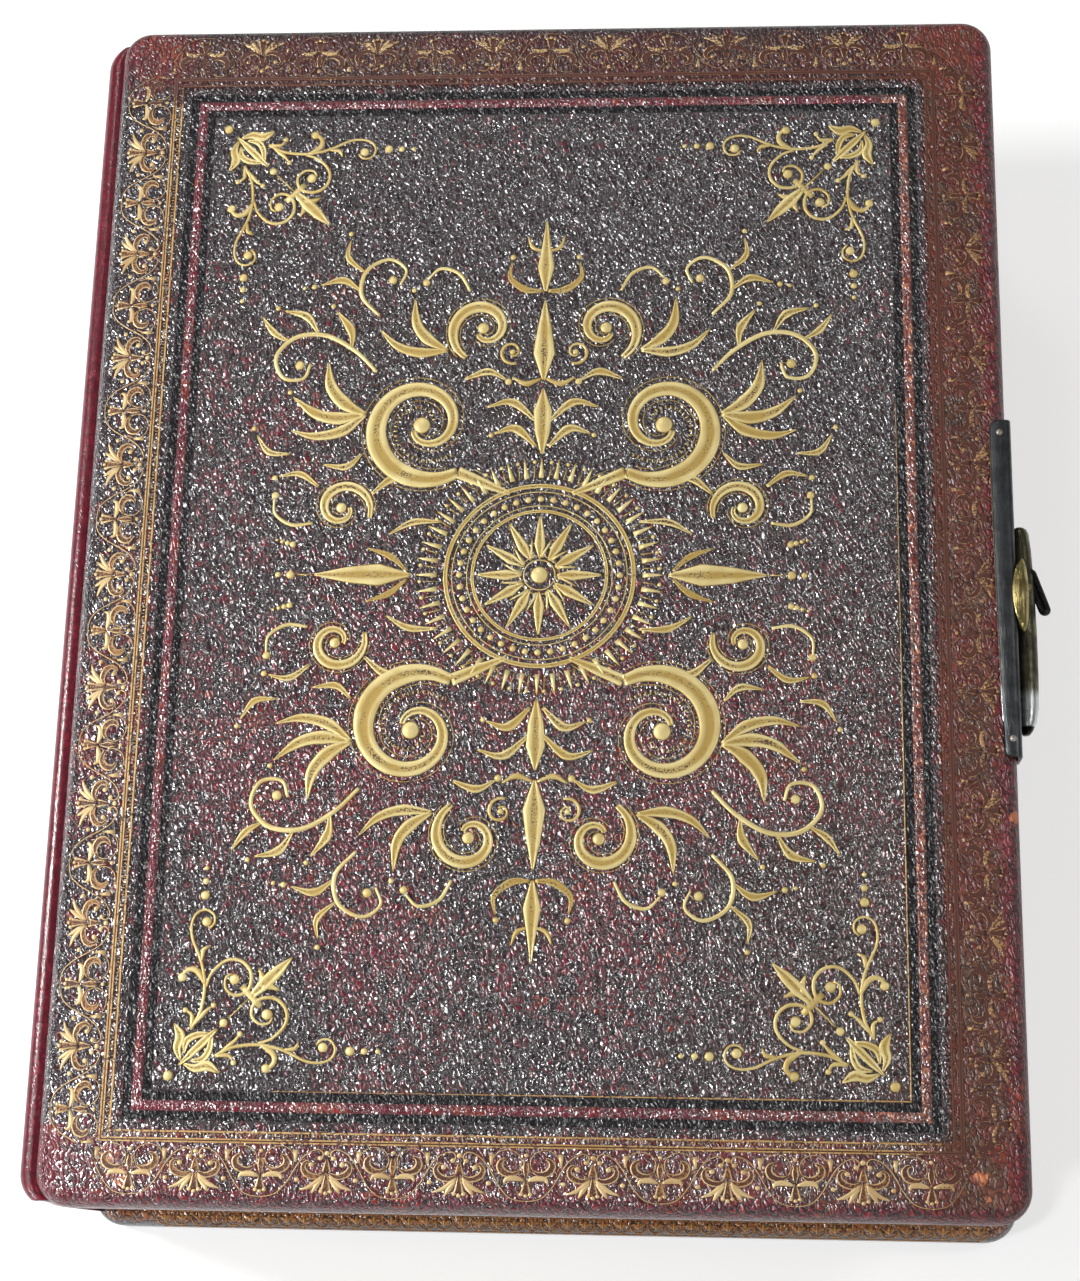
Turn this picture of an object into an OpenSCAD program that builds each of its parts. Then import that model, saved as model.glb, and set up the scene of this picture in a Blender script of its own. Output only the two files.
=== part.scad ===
// Victorian musical photograph album: padded leather covers over a leaf block and a music case.
// Row frame: +X to the fore-edge, +Y to the head, +Z up through the front cover.
// The origin is on the underside, under the middle of the front cover's gilt frame.

/* [Front cover] */
// Width of the front cover, from the joint to the fore-edge
front_w = 231.6; // [216:0.2:244]
// Length of the front cover, from head to tail
front_h = 308.4; // [292:0.2:324]
// Thickness of the front cover
front_t = 9.7; // [8.5:0.1:12]
// Distance from the middle of the gilt frame to the middle of the front cover
front_shift = 0.2; // [0:0.1:4]
// Plan radius of the cover corners
corner_r = 8; // [6:0.5:12]
// How far the rounding of the cover edges reaches in from the edge
edge_round_x = 3; // [2:0.25:4.5]
// How far the rounding of the cover edges reaches down
edge_round_z = 5; // [3:0.25:6]
// Thickness of the leather
leather_t = 1.6; // [1:0.1:2]
// Width of the leather turned in over the inside of each board
turn_in = 14; // [9:0.5:18]
// Thickness of the paper lining inside the front cover
lining_t = 1.2; // [0.6:0.1:1.4]
// Depth by which the lining lies below the turned-in leather
lining_sink = 0.3; // [0.1:0.1:0.6]

/* [Rear cover] */
// Thickness of the rear cover
rear_t = 11; // [10:0.5:14]
// How far the rear cover stands out beyond the front cover at the fore-edge
rear_proud_x = 5.5; // [4.5:0.5:7]
// How far the rear cover stands out beyond the front cover at head and tail
rear_proud_y = 1.8; // [0.5:0.1:4]

/* [Leaves and music case] */
// Height of the leaf block
leaf_h = 29; // [22:0.5:36]
// Number of card leaves in the block
leaf_count = 12; // [8:1:16]
// Depth of the groove between two leaves
leaf_groove = 0.5; // [0.2:0.1:1]
// Height of the music case under the leaves
case_h = 30; // [29:0.5:36]
// How far the covers stand out beyond the leaves at the fore-edge
square_x = 7; // [5:0.5:9]
// How far the covers stand out beyond the leaves at head and tail
square_y = 6.2; // [5:0.1:9]
// Distance from the front cover's joint edge to the leaves
square_spine = 5; // [4.6:0.2:8]
// Thickness of the case walls
case_wall = 6; // [4:0.5:8]
// Thickness of the sound board under the movement
sound_board_t = 3; // [2:0.5:4]
// Thickness of the board between the case and the leaves
deck_t = 4; // [3:0.5:5]
// Gap between the closed front cover and the leaves
cover_gap = 0.3; // [0.2:0.1:0.6]
// Width of a photograph window in the first leaf
window_w = 62; // [50:1:70]
// Height of a photograph window, with its arch
window_h = 98; // [80:1:110]
// Depth of the photograph windows
window_depth = 0.9; // [0.4:0.1:1.2]

/* [Spine] */
// Distance from the joint edge of the front cover to its hinge line
joint_offset = 2.5; // [2:0.1:3.5]
// Running gap between the joint roll and the cover edge
joint_gap = 0.3; // [0.2:0.05:0.5]
// Height of the hinge line above the underside of the front cover
joint_rise = 0.7; // [0.3:0.1:1.5]
// How far the rounded spine swells out
spine_swell = 3.5; // [2:0.5:5]
// Height below the hinge line that stays flat, so that the open cover clears it
spine_flat = 10.5; // [10:0.5:14]
// How much shorter the spine is than the front cover at each end
spine_inset = 1.6; // [0.5:0.1:4]
// Thickness of the card that stiffens the spine
spine_card_t = 1; // [0.6:0.1:1.4]

/* [Gilding] */
// Width of the gilt frame on the front cover
frame_w = 200; // [188:1:206]
// Height of the gilt frame on the front cover
frame_h = 277.2; // [260:0.2:284]
// Thickness of the gold on the leather
gilt_t = 0.15; // [0.1:0.05:0.3]
// Width of the outer gilt line
outer_line = 1; // [0.6:0.1:1.4]
// Width of the inner gilt line
inner_line = 0.4; // [0.3:0.1:0.8]
// Distance between the two gilt lines
line_space = 1.8; // [1.4:0.1:2.4]
// Distance from the gilt frame to the outer black band
band_offset = 4.6; // [3:0.1:5]
// Width of each black band
band_w = 2.1; // [1.4:0.1:2.4]
// Distance between the two black bands
band_space = 2.4; // [1.6:0.1:3]
// Depth of the sunk black bands
band_depth = 0.35; // [0.2:0.05:0.5]
// Width of the scroll roll around the gilt frame
roll_w = 8.2; // [6:0.2:8.4]
// Length of one repeat of the scroll roll
roll_pitch = 29.3; // [26:0.1:34]
// Spacing of the small fleurons round the rear cover
fleuron_pitch = 6; // [5:0.1:8]
// Distance of the corner sprays from the panel's corner
spray_inset = 3.8; // [3:0.1:8]
// Outer radius of the medallion in the middle of the panel
medal_r = 24; // [20:0.5:26]
// Reach of the centre ornament's finials from its middle
ornament_reach = 97; // [88:1:104]

/* [Clasp] */
// Length of the plate on the front cover's fore-edge
plate_len = 84; // [76:1:96]
// Distance of the plate's middle from the middle of the cover, towards the tail
plate_drop = 1.5; // [0:0.5:4]
// Thickness of the clasp's plates
plate_t = 0.9; // [0.6:0.1:1.2]
// Width of the plate's lip on top of the cover
plate_lip = 1.9; // [1.8:0.1:3]
// Radius of the clasp's small rivets
rivet_r = 0.75; // [0.5:0.05:0.85]
// Width of the clasp's strap
strap_w = 52; // [44:1:60]
// Distance of the strap's middle from the middle of the plate, towards the tail
strap_drop = 10.5; // [6:0.5:12]
// Thickness of the clasp's strap
strap_t = 2.2; // [1.6:0.1:2.4]
// Running gap between the strap and the front plate
strap_gap = 0.4; // [0.3:0.05:0.8]
// Height of the strap's top below the top of the front cover
strap_below = 3.4; // [2.5:0.1:5]
// Radius of the clasp's knuckles
knuckle_r = 2.2; // [1.9:0.1:2.6]
// Length of each outer knuckle
knuckle_len = 8; // [6:0.5:10]
// Radius of the clasp's hinge pin
pin_r = 0.9; // [0.7:0.05:1.1]
// Running clearance of pins and arbors in their holes
run_fit = 0.05; // [0.02:0.01:0.08]
// Gap between parts that pass each other
side_gap = 0.3; // [0.2:0.05:0.5]
// Length of the brass thumb piece
thumb_len = 19; // [15:0.5:24]
// Height of the brass thumb piece above the strap
thumb_h = 3; // [2:0.1:4]
// Length of the wire release lever
lever_len = 16; // [12:0.5:18]
// Width of the release lever
lever_w = 3.2; // [2.8:0.1:4]
// Lean of the release lever at rest, from the line of the strap
lever_lean = 20; // [14:1:26]

/* [Winding key] */
// Place of the key and spring barrel, towards the spine
key_x = -52; // [-58:1:-46]
// Distance of the key and spring barrel from the case's tail wall
key_from_tail = 30; // [28:1:36]
// Inner radius of the key's well
well_r = 21; // [20:0.5:23]
// Depth of the key's well
well_depth = 8.5; // [7.5:0.1:8.8]
// Wall of the key's brass well
well_wall = 0.8; // [0.6:0.1:1.2]
// Width of the flange round the well's mouth
well_flange = 3; // [2:0.5:4]
// Span of the key's two wings
key_span = 34; // [28:1:36]
// Thickness of the key's wings
key_wing_t = 3; // [2:0.2:3.6]
// Radius of the key's hub
key_hub_r = 4; // [3.6:0.2:5]
// Height of the key's wings
key_wing_h = 6; // [5:0.5:6.5]

/* [Movement] */
// Length of the bedplate
bed_len = 118; // [112:1:124]
// Width of the bedplate
bed_w = 64; // [60:1:66]
// Thickness of the bedplate
bed_t = 3; // [2.5:0.5:3.5]
// Distance between the bedplate and the case's tail wall
bed_gap = 3.5; // [2:0.5:4]
// Distance of the bedplate's screws from its edges
bed_screw_inset = 4; // [3.6:0.1:4.4]
// Radius of the barrel's drum
barrel_r = 16.6; // [15:0.1:16.8]
// Height of the barrel's drum
barrel_h = 5; // [4.5:0.25:5.5]
// Wall of the barrel
barrel_wall = 1; // [0.8:0.1:1.4]
// Teeth of the cylinder's pinion
pinion_teeth = 12; // [12:1:12]
// Turns of the cylinder for one turn of the barrel
great_ratio = 4; // [4:1:4]
// Pitch radius of the cylinder's pinion
pinion_r = 4.5; // [4.4:0.05:4.6]
// Radius of the cylinder
cylinder_r = 7; // [6.4:0.1:7.2]
// Length of the cylinder
cylinder_len = 50; // [46:0.5:51]
// Height of the cylinder's pins
peg_h = 0.8; // [0.6:0.1:0.9]
// Gap between the cylinder's pins and the comb's tips
comb_gap = 0.2; // [0.12:0.02:0.4]
// Number of teeth on the comb
comb_teeth = 32; // [24:1:36]
// Radius of the winding arbor
arbor_r = 2.5; // [2.2:0.1:2.8]
// Radius of the cylinder's arbor
spindle_r = 1; // [0.8:0.1:1.2]
// Teeth of the cylinder's wheel
wheel_teeth = 40; // [40:1:40]
// Teeth of the governor's pinion
gov_pinion_teeth = 8; // [8:1:8]
// Module of the cylinder's wheel and the governor's pinion
fine_module = 0.4; // [0.39:0.005:0.41]
// Teeth of the governor's worm wheel
worm_wheel_teeth = 20; // [20:1:20]
// Pitch radius of the governor's worm wheel
worm_wheel_r = 6; // [5.6:0.1:6.2]
// Radius of the worm's core
worm_r = 1.1; // [0.9:0.05:1.3]
// Radius of the fly's blades
fly_r = 3.2; // [2.8:0.1:3.4]
// Width of the cylinder's bearing blocks
bearing_w = 8; // [6:0.5:9]
// Thread radius of the comb's screws
screw_r = 1.2; // [1:0.1:1.4]
// Head radius of the comb's and the bridge's screws
screw_head_r = 2.3; // [2:0.1:2.5]
// Height of the screws' heads
screw_head_h = 1.3; // [1:0.1:1.6]
// Width and depth of the slot in a screw's head
screw_slot = 0.7; // [0.5:0.1:0.8]
// Depth of the comb's screws in the comb block
screw_depth = 4; // [3:0.5:6]

/* [Stop slide] */
// Travel of the stop slide
stop_travel = 6; // [4:0.5:7]
// Radius of the stop slide's knob
stop_knob_r = 2.6; // [2.2:0.1:3]
// Radius of the stop slide's stem
stop_stem_r = 1.2; // [1:0.1:1.5]
// Thickness of the stop slide's plates
stop_plate_t = 0.8; // [0.6:0.1:1]

/* [Hidden] */

arc_steps = 7;
smooth = 64;
fine = 32;
overlap = 0.02;

// Levels from the underside to the top of the front cover
case_z0 = rear_t;
case_z1 = case_z0 + case_h;
leaf_z1 = case_z1 + leaf_h;
front_z0 = leaf_z1 + cover_gap;
front_z1 = front_z0 + front_t;

// Outlines of the covers, the leaf block and the hinge line
front_x0 = front_shift - front_w / 2;
front_x1 = front_shift + front_w / 2;
front_y1 = front_h / 2;
hinge_x = front_x0 - joint_offset;
hinge_z = front_z0 + joint_rise;
joint_r = joint_offset - joint_gap;
spine_face_x = hinge_x - joint_r + 0.2;
rear_x0 = spine_face_x + leather_t;
rear_x1 = front_x1 + rear_proud_x;
rear_y1 = front_y1 + rear_proud_y;
block_x0 = front_x0 + square_spine;
block_x1 = front_x1 - square_x;
block_y1 = front_y1 - square_y;
spine_y1 = front_y1 - spine_inset;
spine_z0 = rear_t - 2;
spine_z1 = hinge_z - spine_flat;
foot_round = 1;

// Inner face of the case's tail wall, and the key's place from it
case_in_y1 = block_y1 - case_wall;
key_y = key_from_tail - case_in_y1;

// Panel inside the black bands
panel_x1 = frame_w / 2 - band_offset - 2 * band_w - band_space;
panel_y1 = frame_h / 2 - band_offset - 2 * band_w - band_space;

// Clasp
plate_y0 = -plate_drop - plate_len / 2;
plate_y1 = -plate_drop + plate_len / 2;
rivet_inset = 4.6;
strap_y = -plate_drop - strap_drop;
strap_x0 = front_x1 + plate_t + strap_gap;
strap_z1 = front_z1 - strap_below;
knuckle_x = strap_x0 + 0.9;
knuckle_z = rear_t + plate_t + knuckle_r + 0.5;
strap_foot_w = strap_w * 0.6;
thumb_y = strap_y + 7;
lever_y = thumb_y + 7.5;
lever_z = strap_z1 - 3.2;
lever_pivot_r = 0.7;
lever_out = lever_w * 0.375 + side_gap;
lever_t = 1.2;

// Movement: every height is taken from the top of the bedplate
bed_z1 = case_z0 + sound_board_t + bed_t;
great_teeth = pinion_teeth * great_ratio;
great_r = pinion_r * great_ratio;
great_face = 1.6;
great_tooth_h = 1.7;
barrel_z0 = bed_z1 + side_gap + 0.2;
barrel_z1 = barrel_z0 + barrel_h;
great_pitch_z = barrel_z1 + great_tooth_h * 0.5;
axis_z = great_pitch_z + pinion_r;
axis_y = key_y;
pinion_x = key_x + great_r;
bearing_t = 3;
bearing1_x = pinion_x + great_face / 2 + 1.4;
cylinder_x0 = bearing1_x + bearing_t + 0.8;
cylinder_x1 = cylinder_x0 + cylinder_len;
wheel_r = wheel_teeth * fine_module / 2;
wheel_face = 1.5;
wheel_x = cylinder_x1 + 1.2 + wheel_face / 2;
bearing2_x = wheel_x + wheel_face / 2 + 1;
gov_pinion_r = gov_pinion_teeth * fine_module / 2;
gov_y = axis_y - wheel_r - gov_pinion_r;
gov_wheel_x = bearing2_x + bearing_t + 2;
gov_wheel_face = 1.4;
gov_frame_x = gov_wheel_x + gov_wheel_face / 2 + 1.2;
gov_arbor_r = 0.6;
arm_z = axis_z + worm_wheel_r + 0.6;
worm_y = gov_y - worm_wheel_r - worm_r - 0.75;
bed_x0 = key_x - barrel_r - 8;
bed_y0 = bed_gap - case_in_y1;
bridge_z0 = barrel_z1 + great_tooth_h + 1.4;
bridge_t = 2.2;
bridge_w = 18;
bridge_reach = great_r + 4.5;
ratchet_z0 = bridge_z0 + bridge_t + 0.2;
ratchet_r = 6;
ratchet_teeth = 16;
ratchet_t = 1.4;
click_x = key_x - 6.2;
click_y = key_y + 8.5;
click_rest = 5.5;
comb_tip_y = axis_y + cylinder_r + peg_h + comb_gap;
comb_t = 1.2;
comb_len = 24;
comb_root = 9;
comb_y1 = comb_tip_y + comb_len;
key_z0 = 0.9;

// Stop slide in the tail wall
stop_x = gov_wheel_x;
stop_z = bed_z1 + 4;
slot_gap = 0.4;

// Unit vector, sideways direction and tapering ribbon along a line of points
function unit(v) = v / max(norm(v), 0.0001);
function sideways(pts, i) =
  let(d = unit(pts[min(i + 1, len(pts) - 1)] - pts[max(i - 1, 0)])) [-d.y, d.x];
function ribbon(pts, w0, w1) =
  let(n = len(pts) - 1)
  concat(
    [for (i = [0:n]) pts[i] + sideways(pts, i) * (w0 + (w1 - w0) * i / n) / 2],
    [for (i = [n:-1:0]) pts[i] - sideways(pts, i) * (w0 + (w1 - w0) * i / n) / 2]
  );

// Points of a spiral about c, from radius r0 at angle a0 to radius r1 at angle a1
function volute(c, r0, r1, a0, a1, n) =
  [for (i = [0:n]) let(t = i / n, r = r0 + (r1 - r0) * t, a = a0 + (a1 - a0) * t) c + r * [cos(a), sin(a)]];

// Half section of a cover: r runs out from the corner's centre, the edge is rounded above and below
function slab_section(t, r, foot) =
  concat(
    [[0, 0], [r - foot, 0]],
    [for (i = [1:3]) [r - foot + foot * sin(30 * i), foot - foot * cos(30 * i)]],
    edge_arc(r, t, 0),
    [[0, t]]
  );

// Rounding of a cover's upper edge, at distance out from the leather, from low to high
function edge_arc(r, t, out) =
  [for (i = [0:arc_steps]) let(a = 90 * i / arc_steps)
    [r - edge_round_x + (edge_round_x + out) * cos(a), t - edge_round_z + (edge_round_z + out) * sin(a)]];

// A cover's outer form, as four sides and four corners with one section
module padded_slab(x0, x1, half_h, t) {
  section = slab_section(t, corner_r, foot_round);
  half_w = (x1 - x0) / 2;
  in_x = half_w - corner_r;
  in_y = half_h - corner_r;
  translate([(x0 + x1) / 2, 0, 0]) {
    translate([-in_x, -in_y, 0]) cube([2 * in_x, 2 * in_y, t]);
    for (side = [0:3]) {
      run = side % 2 == 0 ? in_y : in_x;
      reach = side % 2 == 0 ? in_x : in_y;
      rotate([0, 0, 90 * side]) translate([reach, 0, 0]) rotate([90, 0, 0])
        linear_extrude(2 * run, center = true) polygon(section);
    }
    for (k = [0:3]) {
      sx = k == 0 || k == 3 ? 1 : -1;
      sy = k < 2 ? 1 : -1;
      translate([sx * in_x, sy * in_y, 0]) rotate([0, 0, 90 * k])
        rotate_extrude(angle = 90, $fn = smooth) polygon(section);
    }
  }
}

// Flat outline with true round corners, between two corners of a rectangle
module rounded_plate(x0, x1, half_h, r, t) {
  linear_extrude(t) union() {
    translate([x0 + r, -half_h]) square([x1 - x0 - 2 * r, 2 * half_h]);
    translate([x0, -half_h + r]) square([x1 - x0, 2 * (half_h - r)]);
    for (x = [x0 + r, x1 - r], y = [-half_h + r, half_h - r]) translate([x, y]) circle(r, $fn = smooth);
  }
}

// Rectangular frame strip, w by h outside and band wide
module frame_strip(w, h, band, t) {
  linear_extrude(t) difference() {
    square([w, h], center = true);
    square([w - 2 * band, h - 2 * band], center = true);
  }
}

// Board inside a leather cover
module cover_board(x0, x1, half_h, t, below) {
  translate([0, 0, below]) rounded_plate(x0 + leather_t, x1 - leather_t, half_h - leather_t,
    corner_r - leather_t, t - below - leather_t);
}

module sunk_bands(t) {
  outer_w = frame_w - 2 * band_offset;
  outer_h = frame_h - 2 * band_offset;
  step = band_w + band_space;
  for (k = [0, 1]) frame_strip(outer_w - 2 * step * k, outer_h - 2 * step * k, band_w, t);
}

module front_leather() {
  color([0.22, 0.09, 0.08]) translate([0, 0, front_z0]) difference() {
    padded_slab(front_x0, front_x1, front_y1, front_t);
    cover_board(front_x0, front_x1, front_y1, front_t, lining_sink + lining_t);
    translate([front_x0 + turn_in, -front_y1 + turn_in, -overlap])
      cube([front_w - 2 * turn_in, front_h - 2 * turn_in, lining_sink + lining_t + 2 * overlap]);
    translate([0, 0, front_t - band_depth]) sunk_bands(band_depth + overlap);
  }
}

module front_board() {
  color([0.62, 0.5, 0.36]) translate([0, 0, front_z0])
    cover_board(front_x0, front_x1, front_y1, front_t, lining_sink + lining_t);
}

module front_lining() {
  color([0.88, 0.84, 0.74])
    translate([front_x0 + turn_in, -front_y1 + turn_in, front_z0 + lining_sink])
      cube([front_w - 2 * turn_in, front_h - 2 * turn_in, lining_t]);
}

module black_bands() {
  color([0.05, 0.04, 0.04]) translate([0, 0, front_z1 - band_depth]) sunk_bands(gilt_t);
}

// Place of the clasp's front plate on the cover, which the tooling stops short of
module plate_footprint() {
  inner_x = front_x1 - edge_round_x - plate_lip - side_gap;
  translate([inner_x, plate_y0 - side_gap, -overlap])
    cube([front_w, plate_len + 2 * side_gap, gilt_t + 2 * overlap]);
}

module gilt_lines() {
  color([0.75, 0.56, 0.26]) translate([0, 0, front_z1]) difference() {
    union() {
      frame_strip(frame_w + outer_line, frame_h + outer_line, outer_line, gilt_t);
      frame_strip(frame_w - 2 * line_space, frame_h - 2 * line_space, inner_line, gilt_t);
    }
    plate_footprint();
  }
}

// One repeat of the scroll roll: a heart line with two volutes in it, and a palmette at its end
module roll_repeat(pitch, w) {
  heart_r = pitch * 0.27;
  eye = w * 0.27;
  linear_extrude(gilt_t) {
    polygon(ribbon(volute([0, w * 0.13], heart_r, heart_r, 8, 172, 7), 0.5, 0.5));
    for (s = [-1, 1]) scale([s, 1]) translate([pitch * 0.1, w * 0.36])
      polygon(ribbon(volute([0, 0], eye, eye * 0.3, 100, -330, 7), 0.7, 0.6));
    translate([pitch / 2, 0]) polygon([[0, 0], [2.2, w * 0.42], [4.4, w * 0.62], [1.3, w * 0.66],
      [0, w * 0.95], [-1.3, w * 0.66], [-4.4, w * 0.62], [-2.2, w * 0.42]]);
  }
}

// The roll along one side, inner edge on the X axis, centred
module roll_run(run, w) {
  count = max(1, round(run / roll_pitch));
  pitch = run / count;
  for (i = [0:count - 1]) translate([(i + 0.5 - count / 2) * pitch, 0, 0]) roll_repeat(pitch, w);
}

module gilt_roll() {
  clear = outer_line + 0.6;
  color([0.7, 0.5, 0.24]) translate([0, 0, front_z1]) for (side = [0:3]) {
    run = side % 2 == 0 ? frame_w : frame_h;
    reach = side % 2 == 0 ? frame_h / 2 : frame_w / 2;
    rotate([0, 0, 90 * side + 180]) translate([0, reach + clear, 0]) roll_run(run - 8, roll_w);
  }
}

// Dots that shrink along a line
module dot_row(start, step, count, r) {
  for (i = [0:count - 1]) translate(start + step * i) circle(r * (1 - 0.2 * i), $fn = 8);
}

// Half of a corner spray, on one side of its diagonal; the corner is at the origin
module spray_half() {
  polygon(ribbon(volute([17.5, 6.5], 6.2, 1.2, 150, -230, 12), 1.1, 0.5));
  polygon(ribbon([[13.5, 2.6], [19, 1.5], [25, 2.2], [31, 3.6], [36, 2.6]], 0.5, 0.9));
  polygon(ribbon(volute([34.6, 5.6], 3.1, 1.2, 25, 290, 8), 0.8, 0.5));
  polygon([[17, 1.2], [19.4, -1.4], [22.6, -0.4], [20.4, 0.9]]);
  polygon([[24.5, 1.2], [27.2, -1], [30, 0.8], [27.6, 2]]);
  dot_row([39.8, 2.6], [3.1, 0], 3, 0.85);
  polygon([[4.2, 2.2], [8.2, 1.1], [11.6, 3.6], [10.4, 7.4], [7.4, 5.8]]);
}

module corner_spray() {
  linear_extrude(gilt_t) {
    spray_half();
    mirror([1, -1]) spray_half();
    rotate(45) polygon([[2.6, 0], [6.2, -1.5], [15, 0], [6.2, 1.5]]);
    rotate(45) polygon([[25.2, 0], [28.6, -3.6], [30.4, -1.5], [35.6, 0], [30.4, 1.5], [28.6, 3.6]]);
    circle(0.9, $fn = 8);
  }
}

module corner_sprays() {
  color([0.78, 0.6, 0.28]) translate([0, 0, front_z1]) for (sx = [-1, 1], sy = [-1, 1])
    scale([sx, sy, 1]) translate([panel_x1 - spray_inset, panel_y1 - spray_inset, 0])
      rotate([0, 0, 180]) corner_spray();
}

// Quarter of the centre ornament's scrollwork, drawn for finials that reach one hundred units
module scroll_quarter() {
  polygon(ribbon(volute([31, 41], 16, 3, -125, 330, 26), 3.3, 0.9));
  polygon(ribbon(volute([16, 68], 9.3, 2, -60, 320, 18), 1.9, 0.7));
  polygon(ribbon(volute([51.5, 18], 7.7, 1.8, 200, -190, 16), 1.5, 0.6));
  polygon([[49, 37], [53.6, 42.8], [62, 44.3], [55, 47], [51, 53.6], [50, 45]]);
  polygon([[26.8, 62.4], [33, 66], [36, 73], [30.3, 70.6], [25.4, 72.7], [28.2, 67.4]]);
  dot_row([64, 8.2], [1.2, 4.5], 3, 1);
}

module medallion() {
  bead_ring = medal_r - 3.4;
  wheel = medal_r * 0.56;
  difference() {
    circle(medal_r, $fn = smooth);
    circle(medal_r - 1.2, $fn = smooth);
  }
  for (i = [0:23]) rotate(15 * i) translate([bead_ring, 0]) circle(1, $fn = 6);
  difference() {
    circle(medal_r - 5.8, $fn = smooth);
    circle(medal_r - 6.7, $fn = smooth);
  }
  for (i = [0:11]) rotate(30 * i)
    polygon([[3.6, 0], [wheel * 0.7, -1.7], [wheel + 2.4, 0], [wheel * 0.7, 1.7]]);
  circle(2.6, $fn = 12);
  for (i = [0:19]) rotate(18 * i + 9)
    polygon([[medal_r + 1.4, -0.8], [medal_r + 5.5, 0], [medal_r + 1.4, 0.8]]);
}

// Lozenges and leaves that end the ornament, drawn for a reach of one hundred units
module finial() {
  polygon([[0, 53.6], [4.7, 60.3], [2.7, 68], [0, 76.3], [-2.7, 68], [-4.7, 60.3]]);
  polygon([[0, 78.9], [5.2, 84.5], [1.7, 87], [0, 100], [-1.7, 87], [-5.2, 84.5]]);
  polygon([[0, 37.6], [3.5, 44.3], [0, 51.1], [-3.5, 44.3]]);
}

module centre_ornament() {
  unit_size = ornament_reach / 100;
  color([0.78, 0.6, 0.28]) translate([0, 0, front_z1]) linear_extrude(gilt_t) {
    medallion();
    scale(unit_size) {
      for (sx = [-1, 1], sy = [-1, 1]) scale([sx, sy]) scroll_quarter();
      for (sy = [-1, 1]) scale([1, sy]) finial();
      for (sx = [-1, 1]) scale([sx, 1]) polygon([[35, 0], [43.3, -4.7], [55.7, 0], [43.3, 4.7]]);
    }
  }
}

// Space in the rear cover for the brass well
module well_space(extra) {
  translate([key_x, key_y, -overlap])
    cylinder(well_depth + well_wall + overlap, r = well_r + well_wall + extra, $fn = smooth);
}

module arbor_space(z0, z1) {
  translate([key_x, key_y, z0]) cylinder(z1 - z0, r = arbor_r + 1.5, $fn = fine);
}

module rear_leather() {
  color([0.2, 0.08, 0.07]) difference() {
    padded_slab(rear_x0, rear_x1, rear_y1, rear_t);
    cover_board(rear_x0, rear_x1, rear_y1, rear_t - lining_t + leather_t, leather_t);
    translate([block_x0, -block_y1, rear_t - lining_t - overlap])
      cube([block_x1 - block_x0, 2 * block_y1, lining_t + 2 * overlap]);
    well_space(0);
    translate([key_x, key_y, -overlap]) cylinder(well_wall + overlap, r = well_r + well_flange, $fn = smooth);
  }
}

module rear_board() {
  color([0.6, 0.48, 0.34]) difference() {
    union() {
      cover_board(rear_x0, rear_x1, rear_y1, rear_t - lining_t + leather_t, leather_t);
      translate([block_x0, -block_y1, rear_t - lining_t - overlap])
        cube([block_x1 - block_x0, 2 * block_y1, lining_t + overlap]);
    }
    well_space(0);
    arbor_space(well_depth, rear_t + overlap);
  }
}

// One fleuron of the row round the rear cover, pointing outwards along Y
module small_fleuron(w) {
  linear_extrude(gilt_t)
    polygon([[-0.36 * w, 0], [0, 0.5], [0.36 * w, 0], [0.2 * w, 1.6], [0, 2.6], [-0.2 * w, 1.6]]);
}

// The row lies on the ledge that the rear cover shows outside the case
module rear_edge_gilding() {
  ledge = edge_round_x + 3;
  color([0.7, 0.42, 0.2]) translate([(block_x0 + rear_x1) / 2, 0, rear_t]) for (side = [1:3]) {
    half = side % 2 == 0 ? rear_y1 : (rear_x1 - block_x0) / 2;
    reach = side % 2 == 0 ? (rear_x1 - block_x0) / 2 : rear_y1;
    count = floor((2 * half - 4 * ledge) / fleuron_pitch);
    rotate([0, 0, 90 * side - (side == 2 ? 270 : 90)]) translate([0, reach - ledge, 0])
      for (i = [0:count]) translate([(i - count / 2) * fleuron_pitch, 0, 0])
        if (side != 2 || abs((i - count / 2) * fleuron_pitch + strap_y) > strap_w / 2)
          small_fleuron(fleuron_pitch);
  }
}

// Outer face of the spine: flat under the hinge line, swelling out below it
function spine_x(z) =
  let(share = max(0, min(1, (z - spine_z0) / (spine_z1 - spine_z0))))
  spine_face_x - spine_swell * sin(180 * share);

module spine_section(x_in, thick) {
  steps = 14;
  swell = [for (i = [0:steps]) spine_z0 + (spine_z1 - spine_z0) * i / steps];
  levels = concat([foot_round + 0.5], swell, [hinge_z]);
  polygon(concat(
    [for (z = levels) [spine_x(z) + x_in + thick, z]],
    [for (i = [len(levels) - 1:-1:0]) [spine_x(levels[i]) + x_in, levels[i]]]
  ));
}

module spine_leather() {
  color([0.42, 0.07, 0.08]) rotate([90, 0, 0]) linear_extrude(2 * spine_y1, center = true) union() {
    spine_section(0, leather_t);
    translate([hinge_x, hinge_z]) circle(joint_r, $fn = fine);
  }
}

module spine_card() {
  card_z0 = rear_t + 1;
  card_z1 = leaf_z1 - 4;
  color([0.55, 0.46, 0.34]) rotate([90, 0, 0]) linear_extrude(2 * spine_y1 - 6, center = true)
    intersection() {
      spine_section(leather_t, spine_card_t);
      translate([spine_face_x - spine_swell, card_z0])
        square([2 * spine_swell + leather_t + 6, card_z1 - card_z0]);
    }
}

// Arched photograph window, centred on its width, from its foot upwards
module window_shape(w, h) {
  square([w, h - w / 2]);
  translate([w / 2, h - w / 2]) circle(w / 2, $fn = smooth);
}

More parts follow.
